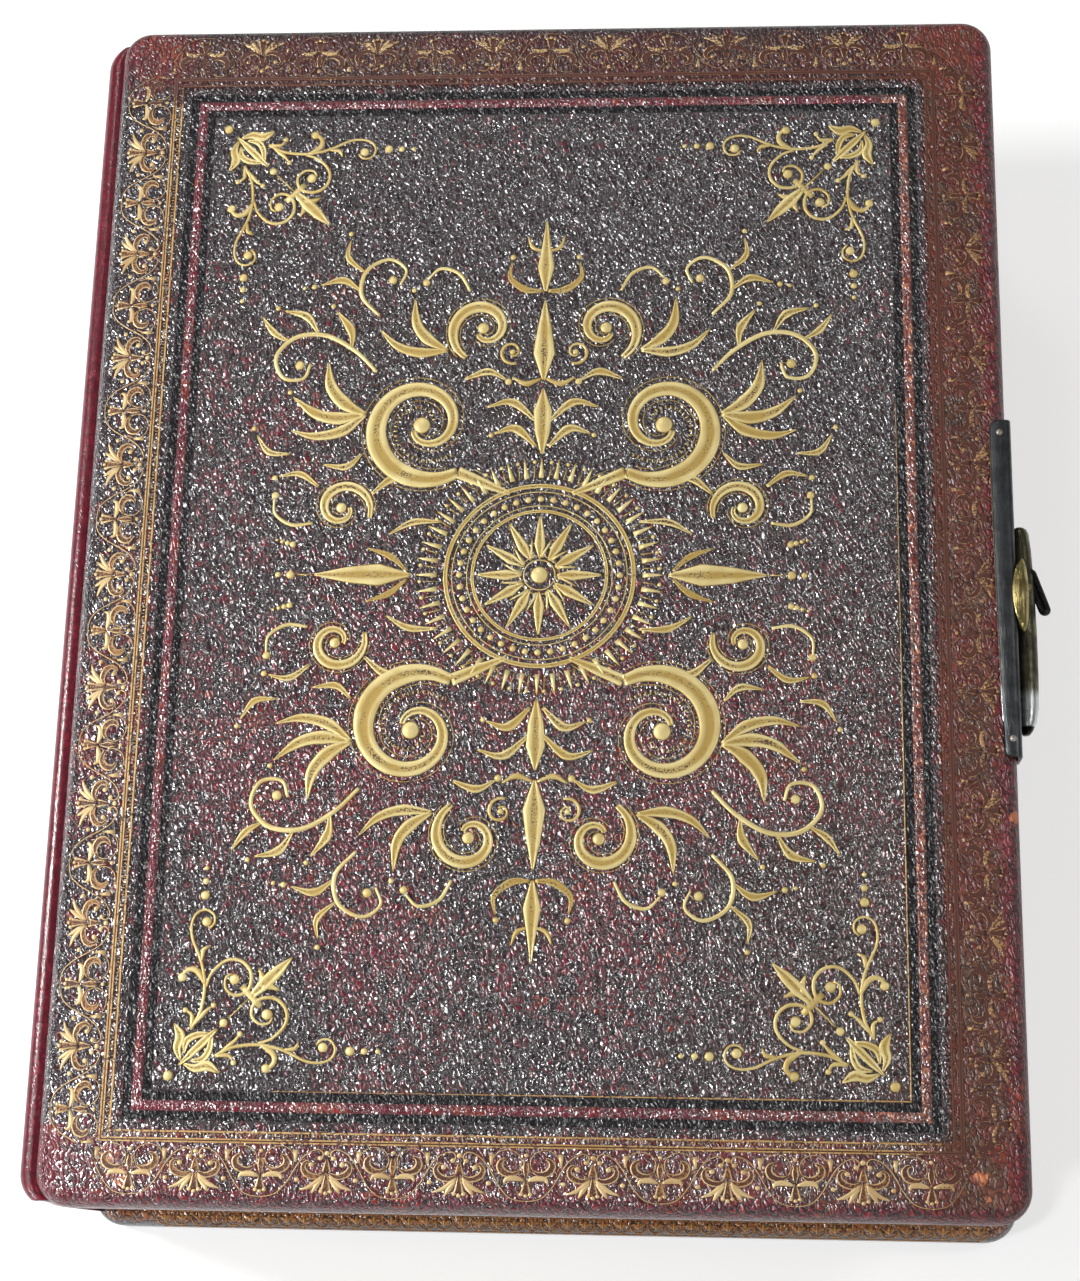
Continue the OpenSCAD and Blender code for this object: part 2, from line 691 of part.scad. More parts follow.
module leaf_block() {
  pitch = leaf_h / leaf_count;
  page_w = block_x1 - block_x0;
  gap_x = (page_w - 2 * window_w) / 3;
  gap_y = (2 * block_y1 - 2 * window_h) / 3;
  color([0.86, 0.7, 0.4]) difference() {
    translate([block_x0, -block_y1, case_z1]) cube([page_w, 2 * block_y1, leaf_h]);
    for (i = [1:leaf_count - 1]) translate([block_x0 - 1, 0, case_z1 + pitch * i - 0.2]) difference() {
      translate([0, -block_y1 - 1, 0]) cube([page_w + 2, 2 * block_y1 + 2, 0.4]);
      translate([0, -block_y1 + leaf_groove, -overlap])
        cube([page_w + 1 - leaf_groove, 2 * (block_y1 - leaf_groove), 0.4 + 2 * overlap]);
    }
    for (i = [0, 1], k = [0, 1])
      translate([block_x0 + gap_x + i * (window_w + gap_x), -block_y1 + gap_y + k * (window_h + gap_y),
        leaf_z1 - window_depth]) linear_extrude(window_depth + 1) window_shape(window_w, window_h);
  }
}

module case_wall_block(x0, y0, x1, y1) {
  translate([x0, y0, case_z0]) cube([x1 - x0, y1 - y0, case_h]);
}

module case_head_wall() {
  color([0.8, 0.64, 0.36]) case_wall_block(block_x0, block_y1 - case_wall, block_x1, block_y1);
}

module case_tail_wall() {
  color([0.8, 0.64, 0.36]) difference() {
    case_wall_block(block_x0, -block_y1, block_x1, -block_y1 + case_wall);
    translate([stop_x, -block_y1 - 1, stop_z]) rotate([-90, 0, 0]) linear_extrude(case_wall + 2) union() {
      circle(stop_stem_r + slot_gap, $fn = fine);
      translate([stop_travel, 0]) circle(stop_stem_r + slot_gap, $fn = fine);
      translate([0, -stop_stem_r - slot_gap]) square([stop_travel, 2 * (stop_stem_r + slot_gap)]);
    }
  }
}

module case_fore_wall() {
  color([0.8, 0.64, 0.36])
    case_wall_block(block_x1 - case_wall, -block_y1 + case_wall, block_x1, block_y1 - case_wall);
}

module case_spine_wall() {
  color([0.66, 0.5, 0.32])
    case_wall_block(block_x0, -block_y1 + case_wall, block_x0 + case_wall, block_y1 - case_wall);
}

module case_floor_plan(z, t) {
  translate([block_x0 + case_wall, -block_y1 + case_wall, z])
    cube([block_x1 - block_x0 - 2 * case_wall, 2 * (block_y1 - case_wall), t]);
}

module case_deck() {
  color([0.7, 0.55, 0.36]) case_floor_plan(case_z1 - deck_t, deck_t);
}

module sound_board() {
  color([0.72, 0.56, 0.34]) difference() {
    case_floor_plan(case_z0, sound_board_t);
    arbor_space(case_z0 - overlap, case_z0 + sound_board_t + overlap);
  }
}

// Plate that wraps over a cover's fore-edge; x1 and z1 are the cover's edge and top
module edge_plate_section(x1, z1, lip, drop) {
  inner = edge_arc(0, 0, 0);
  outer = edge_arc(0, 0, plate_t);
  last = len(inner) - 1;
  translate([x1, z1]) polygon(concat(
    [[0, -drop]], inner, [[-edge_round_x - lip, 0], [-edge_round_x - lip, plate_t]],
    [for (i = [last:-1:0]) outer[i]], [[plate_t, -drop]]
  ));
}

module clasp_front_plate() {
  color([0.2, 0.19, 0.17]) translate([0, (plate_y0 + plate_y1) / 2, 0]) rotate([90, 0, 0])
    linear_extrude(plate_len, center = true)
      edge_plate_section(front_x1, front_z1, plate_lip, front_t - foot_round - 0.6);
}

// Small round-headed rivet standing on a face at the origin
module dome_rivet(r, h) {
  rotate_extrude($fn = fine)
    polygon([[0, 0], [r, 0], [r, h * 0.35], [r * 0.86, h * 0.65], [r * 0.5, h * 0.93], [0, h]]);
}

module clasp_front_rivets() {
  color([0.72, 0.7, 0.64]) for (y = [plate_y0 + rivet_inset, plate_y1 - rivet_inset])
    translate([front_x1 - edge_round_x - plate_lip / 2, y, front_z1 + plate_t]) dome_rivet(rivet_r, 0.5);
}

module knuckle(y0, len) {
  translate([knuckle_x, y0, knuckle_z]) rotate([-90, 0, 0]) cylinder(len, r = knuckle_r, $fn = fine);
}

module clasp_rear_plate() {
  foot_z = rear_t + plate_t - overlap;
  color([0.22, 0.2, 0.18]) difference() {
    union() {
      translate([0, strap_y, 0]) rotate([90, 0, 0]) linear_extrude(strap_w, center = true)
        edge_plate_section(rear_x1, rear_t, plate_lip, rear_t - foot_round - 1.5);
      for (s = [-1, 1]) {
        y0 = strap_y + s * (strap_foot_w / 2 - knuckle_len / 2) - knuckle_len / 2;
        knuckle(y0, knuckle_len);
        translate([knuckle_x - knuckle_r, y0, foot_z])
          cube([min(2 * knuckle_r, rear_x1 - edge_round_x - knuckle_x + knuckle_r), knuckle_len,
            knuckle_z - foot_z]);
      }
    }
    translate([knuckle_x, strap_y - strap_w, knuckle_z]) rotate([-90, 0, 0])
      cylinder(2 * strap_w, r = pin_r, $fn = fine);
  }
}

module clasp_rear_rivets() {
  rivet_x = rear_x1 - edge_round_x - plate_lip / 2 + 0.4;
  color([0.72, 0.66, 0.5]) for (s = [-1, 1])
    translate([rivet_x, strap_y + s * (strap_w / 2 - 3.4), rear_t + plate_t]) dome_rivet(rivet_r, 0.5);
}

module clasp_hinge_pin() {
  color([0.5, 0.42, 0.26]) translate([knuckle_x, strap_y - strap_foot_w / 2, knuckle_z])
    rotate([-90, 0, 0]) cylinder(strap_foot_w, r = pin_r, $fn = fine);
}

// Face of the strap, seen from the fore-edge: narrow at the knuckle, wide and round at the top
module strap_face() {
  r = 4;
  foot = strap_foot_w / 2 - knuckle_len - side_gap;
  shoulder = knuckle_z + (strap_z1 - knuckle_z) * 0.45;
  union() {
    translate([-foot, knuckle_z]) square([2 * foot, strap_z1 - knuckle_z - r]);
    polygon([[-foot, knuckle_z + 7], [foot, knuckle_z + 7], [strap_w / 2, shoulder],
      [strap_w / 2, strap_z1 - r], [-strap_w / 2, strap_z1 - r], [-strap_w / 2, shoulder]]);
    translate([-strap_w / 2 + r, strap_z1 - r - 1]) square([strap_w - 2 * r, r + 1]);
    for (s = [-1, 1]) translate([s * (strap_w / 2 - r), strap_z1 - r]) circle(r, $fn = fine);
  }
}

module clasp_strap() {
  foot = strap_foot_w / 2 - knuckle_len - side_gap;
  ear_z = lever_z + lever_t + side_gap;
  color([0.3, 0.27, 0.2]) difference() {
    union() {
      translate([strap_x0, strap_y, 0]) rotate([90, 0, 90]) linear_extrude(strap_t) strap_face();
      knuckle(strap_y - foot, 2 * foot);
      for (z = [ear_z, lever_z - side_gap - 1])
        translate([strap_x0 + strap_t - 0.5, lever_y - 1.4, z]) cube([lever_out + 1.7, 2.8, 1]);
    }
    translate([knuckle_x, strap_y - strap_w, knuckle_z]) rotate([-90, 0, 0])
      cylinder(2 * strap_w, r = pin_r + run_fit, $fn = fine);
    translate([strap_x0 + strap_t + lever_out, lever_y, lever_z - 3])
      cylinder(8, r = lever_pivot_r, $fn = fine);
  }
}

// Stadium outline along X from the origin
module stadium(len, w) {
  union() {
    translate([0, -w / 2]) square([len, w]);
    circle(w / 2, $fn = fine);
    translate([len, 0]) circle(w / 2, $fn = fine);
  }
}

module clasp_thumb_piece() {
  inset = 1.2;
  r = thumb_h * 0.9;
  color([0.72, 0.56, 0.26]) translate([strap_x0 - 0.05, thumb_y, strap_z1]) difference() {
    rotate([90, 0, 90]) linear_extrude(strap_t) intersection() {
      translate([-thumb_len / 2, 0]) square([thumb_len, thumb_h]);
      translate([-thumb_len / 2 + r, 0]) stadium(thumb_len - 2 * r, 2 * thumb_h);
    }
    translate([strap_t - inset, 0, thumb_h - 0.4]) cylinder(1, r = rivet_r, $fn = fine);
  }
}

module clasp_thumb_rivet() {
  color([0.85, 0.72, 0.4]) translate([strap_x0 + strap_t - 1.25, thumb_y, strap_z1 + thumb_h - 0.4])
    dome_rivet(rivet_r, 0.8);
}

module clasp_release_lever() {
  color([0.08, 0.08, 0.08]) translate([strap_x0 + strap_t + lever_out, lever_y, lever_z])
    rotate([0, 0, -90 + lever_lean]) difference() {
      linear_extrude(lever_t) stadium(lever_len - lever_w, lever_w * 0.75);
      translate([0, 0, -1]) cylinder(lever_t + 2, r = lever_pivot_r + run_fit, $fn = fine);
      translate([lever_len * 0.35, 0, -1]) linear_extrude(lever_t + 2)
        stadium(lever_len * 0.42, lever_w * 0.3);
    }
}

module clasp_lever_pin() {
  color([0.6, 0.5, 0.3]) translate([strap_x0 + strap_t + lever_out, lever_y, lever_z - side_gap - 1])
    cylinder(lever_t + 2 * side_gap + 2, r = lever_pivot_r, $fn = fine);
}

module key_well() {
  color([0.74, 0.58, 0.28]) translate([key_x, key_y, 0]) difference() {
    union() {
      cylinder(well_depth + well_wall, r = well_r + well_wall, $fn = smooth);
      cylinder(well_wall, r = well_r + well_flange, $fn = smooth);
    }
    translate([0, 0, -overlap]) cylinder(well_depth + overlap, r = well_r, $fn = smooth);
    cylinder(well_depth + 2 * well_wall, r = arbor_r + 0.6, $fn = fine);
  }
}

module winding_key() {
  color([0.76, 0.6, 0.3]) translate([key_x, key_y, key_z0]) difference() {
    union() {
      cylinder(key_wing_h, r = key_hub_r, $fn = fine);
      rotate([90, 0, 0]) linear_extrude(key_wing_t, center = true) union() {
        for (s = [-1, 1]) translate([s * (key_span / 2 - key_wing_h / 2), key_wing_h / 2])
          circle(key_wing_h / 2, $fn = fine);
        translate([-key_span / 2 + key_wing_h / 2, key_wing_h * 0.2])
          square([key_span - key_wing_h, key_wing_h * 0.6]);
      }
    }
    translate([0, 0, 1.4]) cylinder(key_wing_h, r = arbor_r, $fn = fine);
  }
}

module winding_arbor() {
  top = ratchet_z0 + ratchet_t + 1;
  color([0.66, 0.66, 0.64]) translate([key_x, key_y, 0]) difference() {
    translate([0, 0, key_z0 + 1.4]) cylinder(top - key_z0 - 1.4, r = arbor_r, $fn = fine);
    translate([arbor_r - 0.5, -arbor_r, ratchet_z0]) cube([arbor_r, 2 * arbor_r, 4]);
  }
}

module ratchet_wheel() {
  step = 360 / ratchet_teeth;
  points = [for (i = [0:ratchet_teeth - 1], k = [0, 1])
    let(a = i * step + (k == 0 ? 0 : step * 0.12), r = k == 0 ? ratchet_r - 1 : ratchet_r)
      [r * cos(a), r * sin(a)]];
  color([0.6, 0.6, 0.6]) translate([key_x, key_y, ratchet_z0]) difference() {
    linear_extrude(ratchet_t) polygon(points);
    difference() {
      translate([0, 0, -1]) cylinder(ratchet_t + 2, r = arbor_r, $fn = fine);
      translate([arbor_r - 0.5, -arbor_r, -2]) cube([arbor_r, 2 * arbor_r, ratchet_t + 4]);
    }
  }
}

// The click lies along the bridge, lifted by click_rest so that its nose clears the ratchet's teeth
module click() {
  color([0.55, 0.55, 0.56]) translate([click_x, click_y, ratchet_z0]) rotate([0, 0, 90 - click_rest])
    difference() {
    linear_extrude(ratchet_t) union() {
      circle(1.9, $fn = fine);
      polygon([[-8.25, -0.85], [-6.9, -0.1], [-1, -1.4], [0.5, 0], [-0.8, 1.5], [-8.2, 0.45]]);
    }
    translate([0, 0, -1]) cylinder(ratchet_t + 2, r = spindle_r + run_fit, $fn = fine);
  }
}

module click_screw() {
  color([0.4, 0.42, 0.5]) translate([click_x, click_y, bridge_z0 + bridge_t]) {
    cylinder(0.2 + ratchet_t + run_fit, r = spindle_r, $fn = fine);
    translate([0, 0, 0.2 + ratchet_t + run_fit]) cylinder(0.8, r = 1.8, $fn = fine);
  }
}

// Leaf spring beside the click, with its foot on the bridge
module click_spring() {
  color([0.6, 0.58, 0.5]) translate([click_x, click_y, bridge_z0 + bridge_t]) {
    translate([0, 0, 0.2]) linear_extrude(ratchet_t)
      polygon(ribbon([[-1.95, -6.5], [-2.3, -3.5], [-2.35, 0], [-1.4, 4.2]], 0.25, 0.4));
    translate([-1.7, 4, 0]) cube([1.8, 1.6, ratchet_t + 0.2]);
  }
}

module bed_screw_places() {
  for (x = [bed_x0 + bed_screw_inset, bed_x0 + bed_len - bed_screw_inset],
      y = [bed_y0 + bed_screw_inset, bed_y0 + bed_w - bed_screw_inset])
    translate([x, y, 0]) children();
}

module bedplate() {
  color([0.25, 0.26, 0.26]) difference() {
    translate([bed_x0, bed_y0, bed_z1 - bed_t]) cube([bed_len, bed_w, bed_t]);
    translate([key_x, key_y, bed_z1 - bed_t - 1]) cylinder(bed_t + 2, r = arbor_r + run_fit, $fn = fine);
    bed_screw_places() translate([0, 0, bed_z1 - bed_t - 1]) cylinder(bed_t + 2, r = 1.5, $fn = fine);
  }
}

module bedplate_screws() {
  color([0.35, 0.36, 0.4]) bed_screw_places() difference() {
    union() {
      translate([0, 0, bed_z1 - bed_t]) cylinder(bed_t, r = 1.5, $fn = fine);
      translate([0, 0, bed_z1]) cylinder(1.5, r = 2.6, $fn = fine);
    }
    translate([-3, -0.4, bed_z1 + 0.8]) cube([6, 0.8, 1]);
  }
}

module spring_barrel() {
  step = 360 / great_teeth;
  base = great_r + great_face / 2;
  color([0.74, 0.6, 0.3]) translate([key_x, key_y, barrel_z0]) {
    difference() {
      union() {
        cylinder(barrel_h, r = barrel_r, $fn = smooth);
        translate([0, 0, barrel_h - 1.6]) cylinder(1.6, r = base, $fn = smooth);
      }
      translate([0, 0, barrel_wall])
        cylinder(barrel_h - 2 * barrel_wall, r = barrel_r - barrel_wall, $fn = smooth);
      translate([0, 0, -1]) cylinder(barrel_h + 2, r = arbor_r + run_fit, $fn = fine);
    }
    for (i = [0:great_teeth - 1]) rotate([0, 0, step * (i + 0.5)])
      translate([great_r - great_face / 2, 0, barrel_h - 0.1]) rotate([90, 0, 90]) linear_extrude(great_face)
        polygon([[-0.5, 0], [0.5, 0], [0.3, great_tooth_h], [-0.3, great_tooth_h]]);
  }
}

module mainspring() {
  turns = 5;
  r_in = arbor_r + 1.5;
  r_out = barrel_r - barrel_wall - 0.6;
  color([0.4, 0.42, 0.46]) translate([key_x, key_y, barrel_z0 + barrel_wall + 0.05])
    linear_extrude(barrel_h - 2 * barrel_wall - 0.1)
      polygon(ribbon(volute([0, 0], r_in, r_out, 0, 360 * turns, 24 * turns), 0.7, 0.7));
}

module barrel_bridge() {
  foot = 7;
  color([0.72, 0.58, 0.3]) difference() {
    union() {
      translate([key_x - bridge_w / 2, key_y - bridge_reach - foot / 2, bridge_z0])
        cube([bridge_w, 2 * bridge_reach + foot, bridge_t]);
      for (s = [-1, 1]) translate([key_x, key_y + s * bridge_reach, bed_z1])
        cylinder(bridge_z0 - bed_z1 + overlap, r = foot / 2 - 0.5, $fn = fine);
    }
    translate([key_x, key_y, bridge_z0 - 1]) cylinder(bridge_t + 2, r = arbor_r + run_fit, $fn = fine);
  }
}

module bridge_screws() {
  color([0.3, 0.34, 0.5]) for (s = [-1, 1]) translate([key_x, key_y + s * bridge_reach, bridge_z0 + bridge_t])
    difference() {
      cylinder(screw_head_h, r = screw_head_r, $fn = fine);
      translate([-screw_head_r, -screw_slot / 2, screw_head_h - screw_slot])
        cube([2 * screw_head_r, screw_slot, screw_slot + overlap]);
    }
}

// Spur teeth about the X axis at the origin; tip and root are measured from the pitch circle
module spur_teeth(count, r, face, tooth, tip, root) {
  rotate([90, 0, 90]) linear_extrude(face, center = true) union() {
    circle(r - root, $fn = smooth);
    for (i = [0:count - 1]) rotate(360 / count * i)
      polygon([[r - root - 0.2, -tooth * 0.62], [r + tip, -tooth * 0.34], [r + tip, tooth * 0.34],
        [r - root - 0.2, tooth * 0.62]]);
  }
}

module along_x(x, y, z, len, r) {
  translate([x, y, z]) rotate([0, 90, 0]) cylinder(len, r = r, $fn = fine);
}

module music_cylinder() {
  color([0.78, 0.64, 0.34]) difference() {
    along_x(cylinder_x0, axis_y, axis_z, cylinder_len, cylinder_r);
    along_x(cylinder_x0 + 1.5, axis_y, axis_z, cylinder_len - 3, cylinder_r - 1);
    along_x(cylinder_x0 - 1, axis_y, axis_z, cylinder_len + 2, spindle_r);
  }
}

module cylinder_pins() {
  tracks = comb_teeth;
  pitch = (cylinder_len - 6) / tracks;
  color([0.7, 0.7, 0.72]) translate([cylinder_x0, axis_y, axis_z])
    for (i = [0:tracks - 1], k = [0:1]) rotate([73 * i + 137 * k + 11 * k * i, 0, 0])
      translate([3 + pitch * (i + 0.5), 0, cylinder_r - 0.02]) cylinder(peg_h, r = 0.28, $fn = 6);
}

module cylinder_spindle() {
  color([0.66, 0.66, 0.66]) {
    along_x(pinion_x - 3, axis_y, axis_z, bearing2_x + bearing_t + 0.6 - pinion_x + 3, spindle_r);
    translate([pinion_x, axis_y, axis_z]) spur_teeth(pinion_teeth, pinion_r, great_face, 0.62, 0.7, 0.9);
  }
}

module cylinder_wheel() {
  color([0.76, 0.62, 0.32]) translate([wheel_x, axis_y, axis_z]) difference() {
    spur_teeth(wheel_teeth, wheel_r, wheel_face, 0.42, 0.3, 0.45);
    rotate([0, 90, 0]) cylinder(wheel_face + 1, r = spindle_r, center = true, $fn = fine);
  }
}

module bearing_block(x) {
  difference() {
    translate([x, axis_y - bearing_w / 2, bed_z1]) cube([bearing_t, bearing_w, axis_z - bed_z1 + 3.5]);
    along_x(x - 1, axis_y, axis_z, bearing_t + 2, spindle_r + run_fit);
  }
}

module cylinder_bearings() {
  color([0.72, 0.58, 0.3]) {
    bearing_block(bearing1_x);
    bearing_block(bearing2_x);
  }
}

module comb_screw_places() {
  for (i = [0:3])
    translate([cylinder_x0 + cylinder_len * (i + 0.5) / 4, comb_y1 - comb_root / 2, 0]) children();
}

module music_comb() {
  run = cylinder_len - 6;
  pitch = run / comb_teeth;
  slit = pitch * 0.3;
  teeth_end = comb_y1 - comb_root;
  color([0.6, 0.61, 0.63]) difference() {
    translate([0, 0, axis_z - comb_t]) linear_extrude(comb_t) translate([cylinder_x0 + 3, 0])
      polygon(concat(
        [for (i = [0:comb_teeth - 1], k = [0:3]) let(x = pitch * i + (k < 2 ? slit / 2 : pitch - slit / 2))
          [x, k == 0 || k == 3 ? teeth_end : comb_tip_y]],
        [[run + 1.5, teeth_end], [run + 1.5, comb_y1], [-1.5, comb_y1], [-1.5, teeth_end]]
      ));
    comb_screw_places() translate([0, 0, axis_z - comb_t - 1]) cylinder(comb_t + 2, r = screw_r, $fn = fine);
  }
}

module comb_block() {
  color([0.7, 0.56, 0.3]) difference() {
    translate([cylinder_x0 + 1.5, comb_y1 - comb_root + 1, bed_z1])
      cube([cylinder_len - 3, comb_root - 1, axis_z - comb_t - bed_z1]);
    comb_screw_places() translate([0, 0, axis_z - comb_t - screw_depth])
      cylinder(screw_depth + 1, r = screw_r, $fn = fine);
  }
}

module comb_screws() {
  color([0.3, 0.34, 0.5]) comb_screw_places() difference() {
    union() {
      translate([0, 0, axis_z - comb_t - screw_depth])
        cylinder(comb_t + screw_depth, r = screw_r, $fn = fine);
      translate([0, 0, axis_z]) cylinder(screw_head_h, r = screw_head_r, $fn = fine);
    }
    translate([-screw_head_r, -screw_slot / 2, axis_z + screw_head_h - screw_slot])
      cube([2 * screw_head_r, screw_slot, screw_slot + overlap]);
  }
}

// Frame that carries the governor wheel and the worm
module governor_frame() {
  post_t = 1.6;
  post_x = gov_wheel_x + fly_r + 0.6;
  color([0.7, 0.57, 0.3]) difference() {
    union() {
      translate([gov_frame_x, gov_y - 3, bed_z1]) cube([2.4, 6, axis_z - bed_z1 + 3]);
      translate([bearing2_x, gov_y - 2.6, bed_z1]) cube([bearing_t - 1, 3.6, axis_z - bed_z1 + 3]);
      translate([bearing2_x, worm_y - 2, bed_z1]) cube([post_x + post_t - bearing2_x, gov_y - worm_y + 4, 1]);
      translate([post_x, worm_y - 2, bed_z1]) cube([post_t, 4, arm_z - bed_z1]);
      translate([gov_wheel_x - 2, worm_y - 2, arm_z - 1]) cube([post_x + post_t - gov_wheel_x + 2, 4, 1.2]);
    }
    along_x(bearing2_x - 1, gov_y, axis_z, gov_frame_x - bearing2_x + 5, gov_arbor_r + run_fit);
    translate([gov_wheel_x, worm_y, bed_z1 + 0.4]) cylinder(30, r = 0.5 + run_fit, $fn = fine);
  }
}

module governor_wheel() {
  color([0.78, 0.66, 0.36]) {
    along_x(wheel_x - 1.4, gov_y, axis_z, gov_frame_x + 2 - wheel_x + 1.4, gov_arbor_r);
    translate([wheel_x, gov_y, axis_z]) rotate([180 / gov_pinion_teeth, 0, 0])
      spur_teeth(gov_pinion_teeth, gov_pinion_r, wheel_face, 0.36, 0.3, 0.5);
    translate([gov_wheel_x, gov_y, axis_z])
      spur_teeth(worm_wheel_teeth, worm_wheel_r, gov_wheel_face, 0.6, 0.4, 0.8);
  }
}

module worm_and_fly() {
  blade_z = bed_z1 + 1.4;
  color([0.66, 0.66, 0.66]) translate([gov_wheel_x, worm_y, 0]) {
    translate([0, 0, bed_z1 + 0.5]) cylinder(arm_z - bed_z1 - 0.4, r = 0.5, $fn = fine);
    translate([0, 0, axis_z - 4]) cylinder(8, r = worm_r, $fn = fine);
    translate([-fly_r, -0.2, blade_z]) cube([2 * fly_r, 0.4, 3.6]);
  }
}

module stop_slide() {
  wall_y0 = -block_y1;
  color([0.76, 0.6, 0.3]) translate([stop_x, wall_y0, stop_z]) rotate([-90, 0, 0]) {
    translate([0, 0, -stop_plate_t - side_gap - 3]) cylinder(3, r = stop_knob_r, $fn = fine);
    translate([0, 0, -stop_plate_t - side_gap - 0.1])
      cylinder(case_wall + stop_plate_t + 2 * side_gap + 1.1, r = stop_stem_r, $fn = fine);
    translate([0, 0, case_wall + side_gap]) cylinder(1, r = stop_knob_r, $fn = fine);
  }
}

module stop_guide() {
  wall_y0 = -block_y1;
  color([0.7, 0.56, 0.28]) translate([stop_x, wall_y0, stop_z]) rotate([90, 0, 0])
    linear_extrude(stop_plate_t) difference() {
      translate([-2.5, 0]) stadium(stop_travel + 5, 8);
      union() {
        circle(stop_stem_r + slot_gap, $fn = fine);
        translate([stop_travel, 0]) circle(stop_stem_r + slot_gap, $fn = fine);
        translate([0, -stop_stem_r - slot_gap]) square([stop_travel, 2 * (stop_stem_r + slot_gap)]);
      }
    }
}

// Bent wire on the inner end of the slide, which reaches for the fly
module brake_wire() {
  wire_r = 0.4;
  wall_in = -block_y1 + case_wall + side_gap + 1;
  reach = worm_y - fly_r + 1 - wall_in;
  color([0.6, 0.6, 0.6]) translate([stop_x - stop_travel, wall_in, stop_z]) {
    rotate([-90, 0, 0]) cylinder(max(1, reach), r = wire_r, $fn = fine);
    translate([0, wire_r, 0]) rotate([0, 90, 0]) cylinder(stop_travel, r = wire_r, $fn = fine);
  }
}

front_leather();
front_board();
front_lining();
black_bands();
gilt_lines();
gilt_roll();
corner_sprays();
centre_ornament();
rear_leather();
rear_board();
rear_edge_gilding();
spine_leather();
spine_card();
leaf_block();
case_head_wall();
case_tail_wall();
case_fore_wall();
case_spine_wall();
case_deck();
sound_board();
clasp_front_plate();
clasp_front_rivets();
clasp_rear_plate();
clasp_rear_rivets();
clasp_hinge_pin();
clasp_strap();
clasp_thumb_piece();
clasp_thumb_rivet();
clasp_release_lever();
clasp_lever_pin();
key_well();
winding_key();
winding_arbor();
ratchet_wheel();
click();
click_screw();
click_spring();
bedplate();
bedplate_screws();
spring_barrel();
mainspring();
barrel_bridge();
bridge_screws();
music_cylinder();
cylinder_pins();
cylinder_spindle();
cylinder_wheel();
cylinder_bearings();
music_comb();
comb_block();
comb_screws();
governor_frame();
governor_wheel();
worm_and_fly();
stop_slide();
stop_guide();
brake_wire();
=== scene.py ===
"""Looks of a musical photograph album that lies closed on its back.

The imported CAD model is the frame. This script dresses it: tooled leather covers, gilt ornament,
a worn metal clasp, gilt-edged leaves and the musical movement in its case.
All lengths in the code are millimetres in the row frame, and become metres in the meshes.
"""

import logging
import math
from dataclasses import dataclass, field
from enum import Enum

import bmesh
import bpy
import numpy as np
from bpy.types import Material, Node, NodeSocket, NodeTree, Object
from mathutils import Matrix, Vector


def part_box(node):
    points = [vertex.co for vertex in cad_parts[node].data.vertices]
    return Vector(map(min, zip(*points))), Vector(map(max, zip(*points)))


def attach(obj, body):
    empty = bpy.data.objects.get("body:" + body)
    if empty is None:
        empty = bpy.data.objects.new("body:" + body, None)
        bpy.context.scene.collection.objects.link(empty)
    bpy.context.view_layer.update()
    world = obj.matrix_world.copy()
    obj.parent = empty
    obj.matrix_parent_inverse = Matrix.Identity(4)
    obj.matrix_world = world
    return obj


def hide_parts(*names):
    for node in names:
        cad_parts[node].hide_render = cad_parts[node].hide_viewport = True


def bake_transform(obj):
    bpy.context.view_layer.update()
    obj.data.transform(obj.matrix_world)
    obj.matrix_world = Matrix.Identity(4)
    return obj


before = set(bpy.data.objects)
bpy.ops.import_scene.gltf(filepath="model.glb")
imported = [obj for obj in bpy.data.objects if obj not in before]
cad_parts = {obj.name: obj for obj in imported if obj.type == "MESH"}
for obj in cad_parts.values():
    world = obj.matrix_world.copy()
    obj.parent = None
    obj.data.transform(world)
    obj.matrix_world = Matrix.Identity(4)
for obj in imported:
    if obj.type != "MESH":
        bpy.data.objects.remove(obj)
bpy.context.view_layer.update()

MM = 0.001
LOG = logging.getLogger("album")

FLOAT = "NodeSocketFloat"
VECTOR = "NodeSocketVector"

# Half width and half height of the outer gilt line, and the length of one heart of the scroll border
FRAME_HALF = (100.5, 139.1)
HEART_PITCH = 30.9


def srgb(red: float, green: float, blue: float) -> tuple:
    """Linear colour of a screen colour.

    Args:
        red, green, blue: screen values from 0 to 255.
    Returns:
        Four linear values from 0 to 1, the last of them 1.
    """
    def linear(value: float) -> float:
        """One channel."""
        share = value / 255
        return share / 12.92 if share <= 0.04045 else ((share + 0.055) / 1.055) ** 2.4
    return (linear(red), linear(green), linear(blue), 1.0)


def box_mm(node: str) -> tuple:
    """Lowest and highest corner of a CAD node, in millimetres."""
    low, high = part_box(node)
    return np.array(low) / MM, np.array(high) / MM


def smoothstep(value: np.ndarray, low: float, high: float) -> np.ndarray:
    """Soft step from 0 at low to 1 at high."""
    share = np.clip((value - low) / (high - low), 0, 1)
    return share * share * (3 - 2 * share)


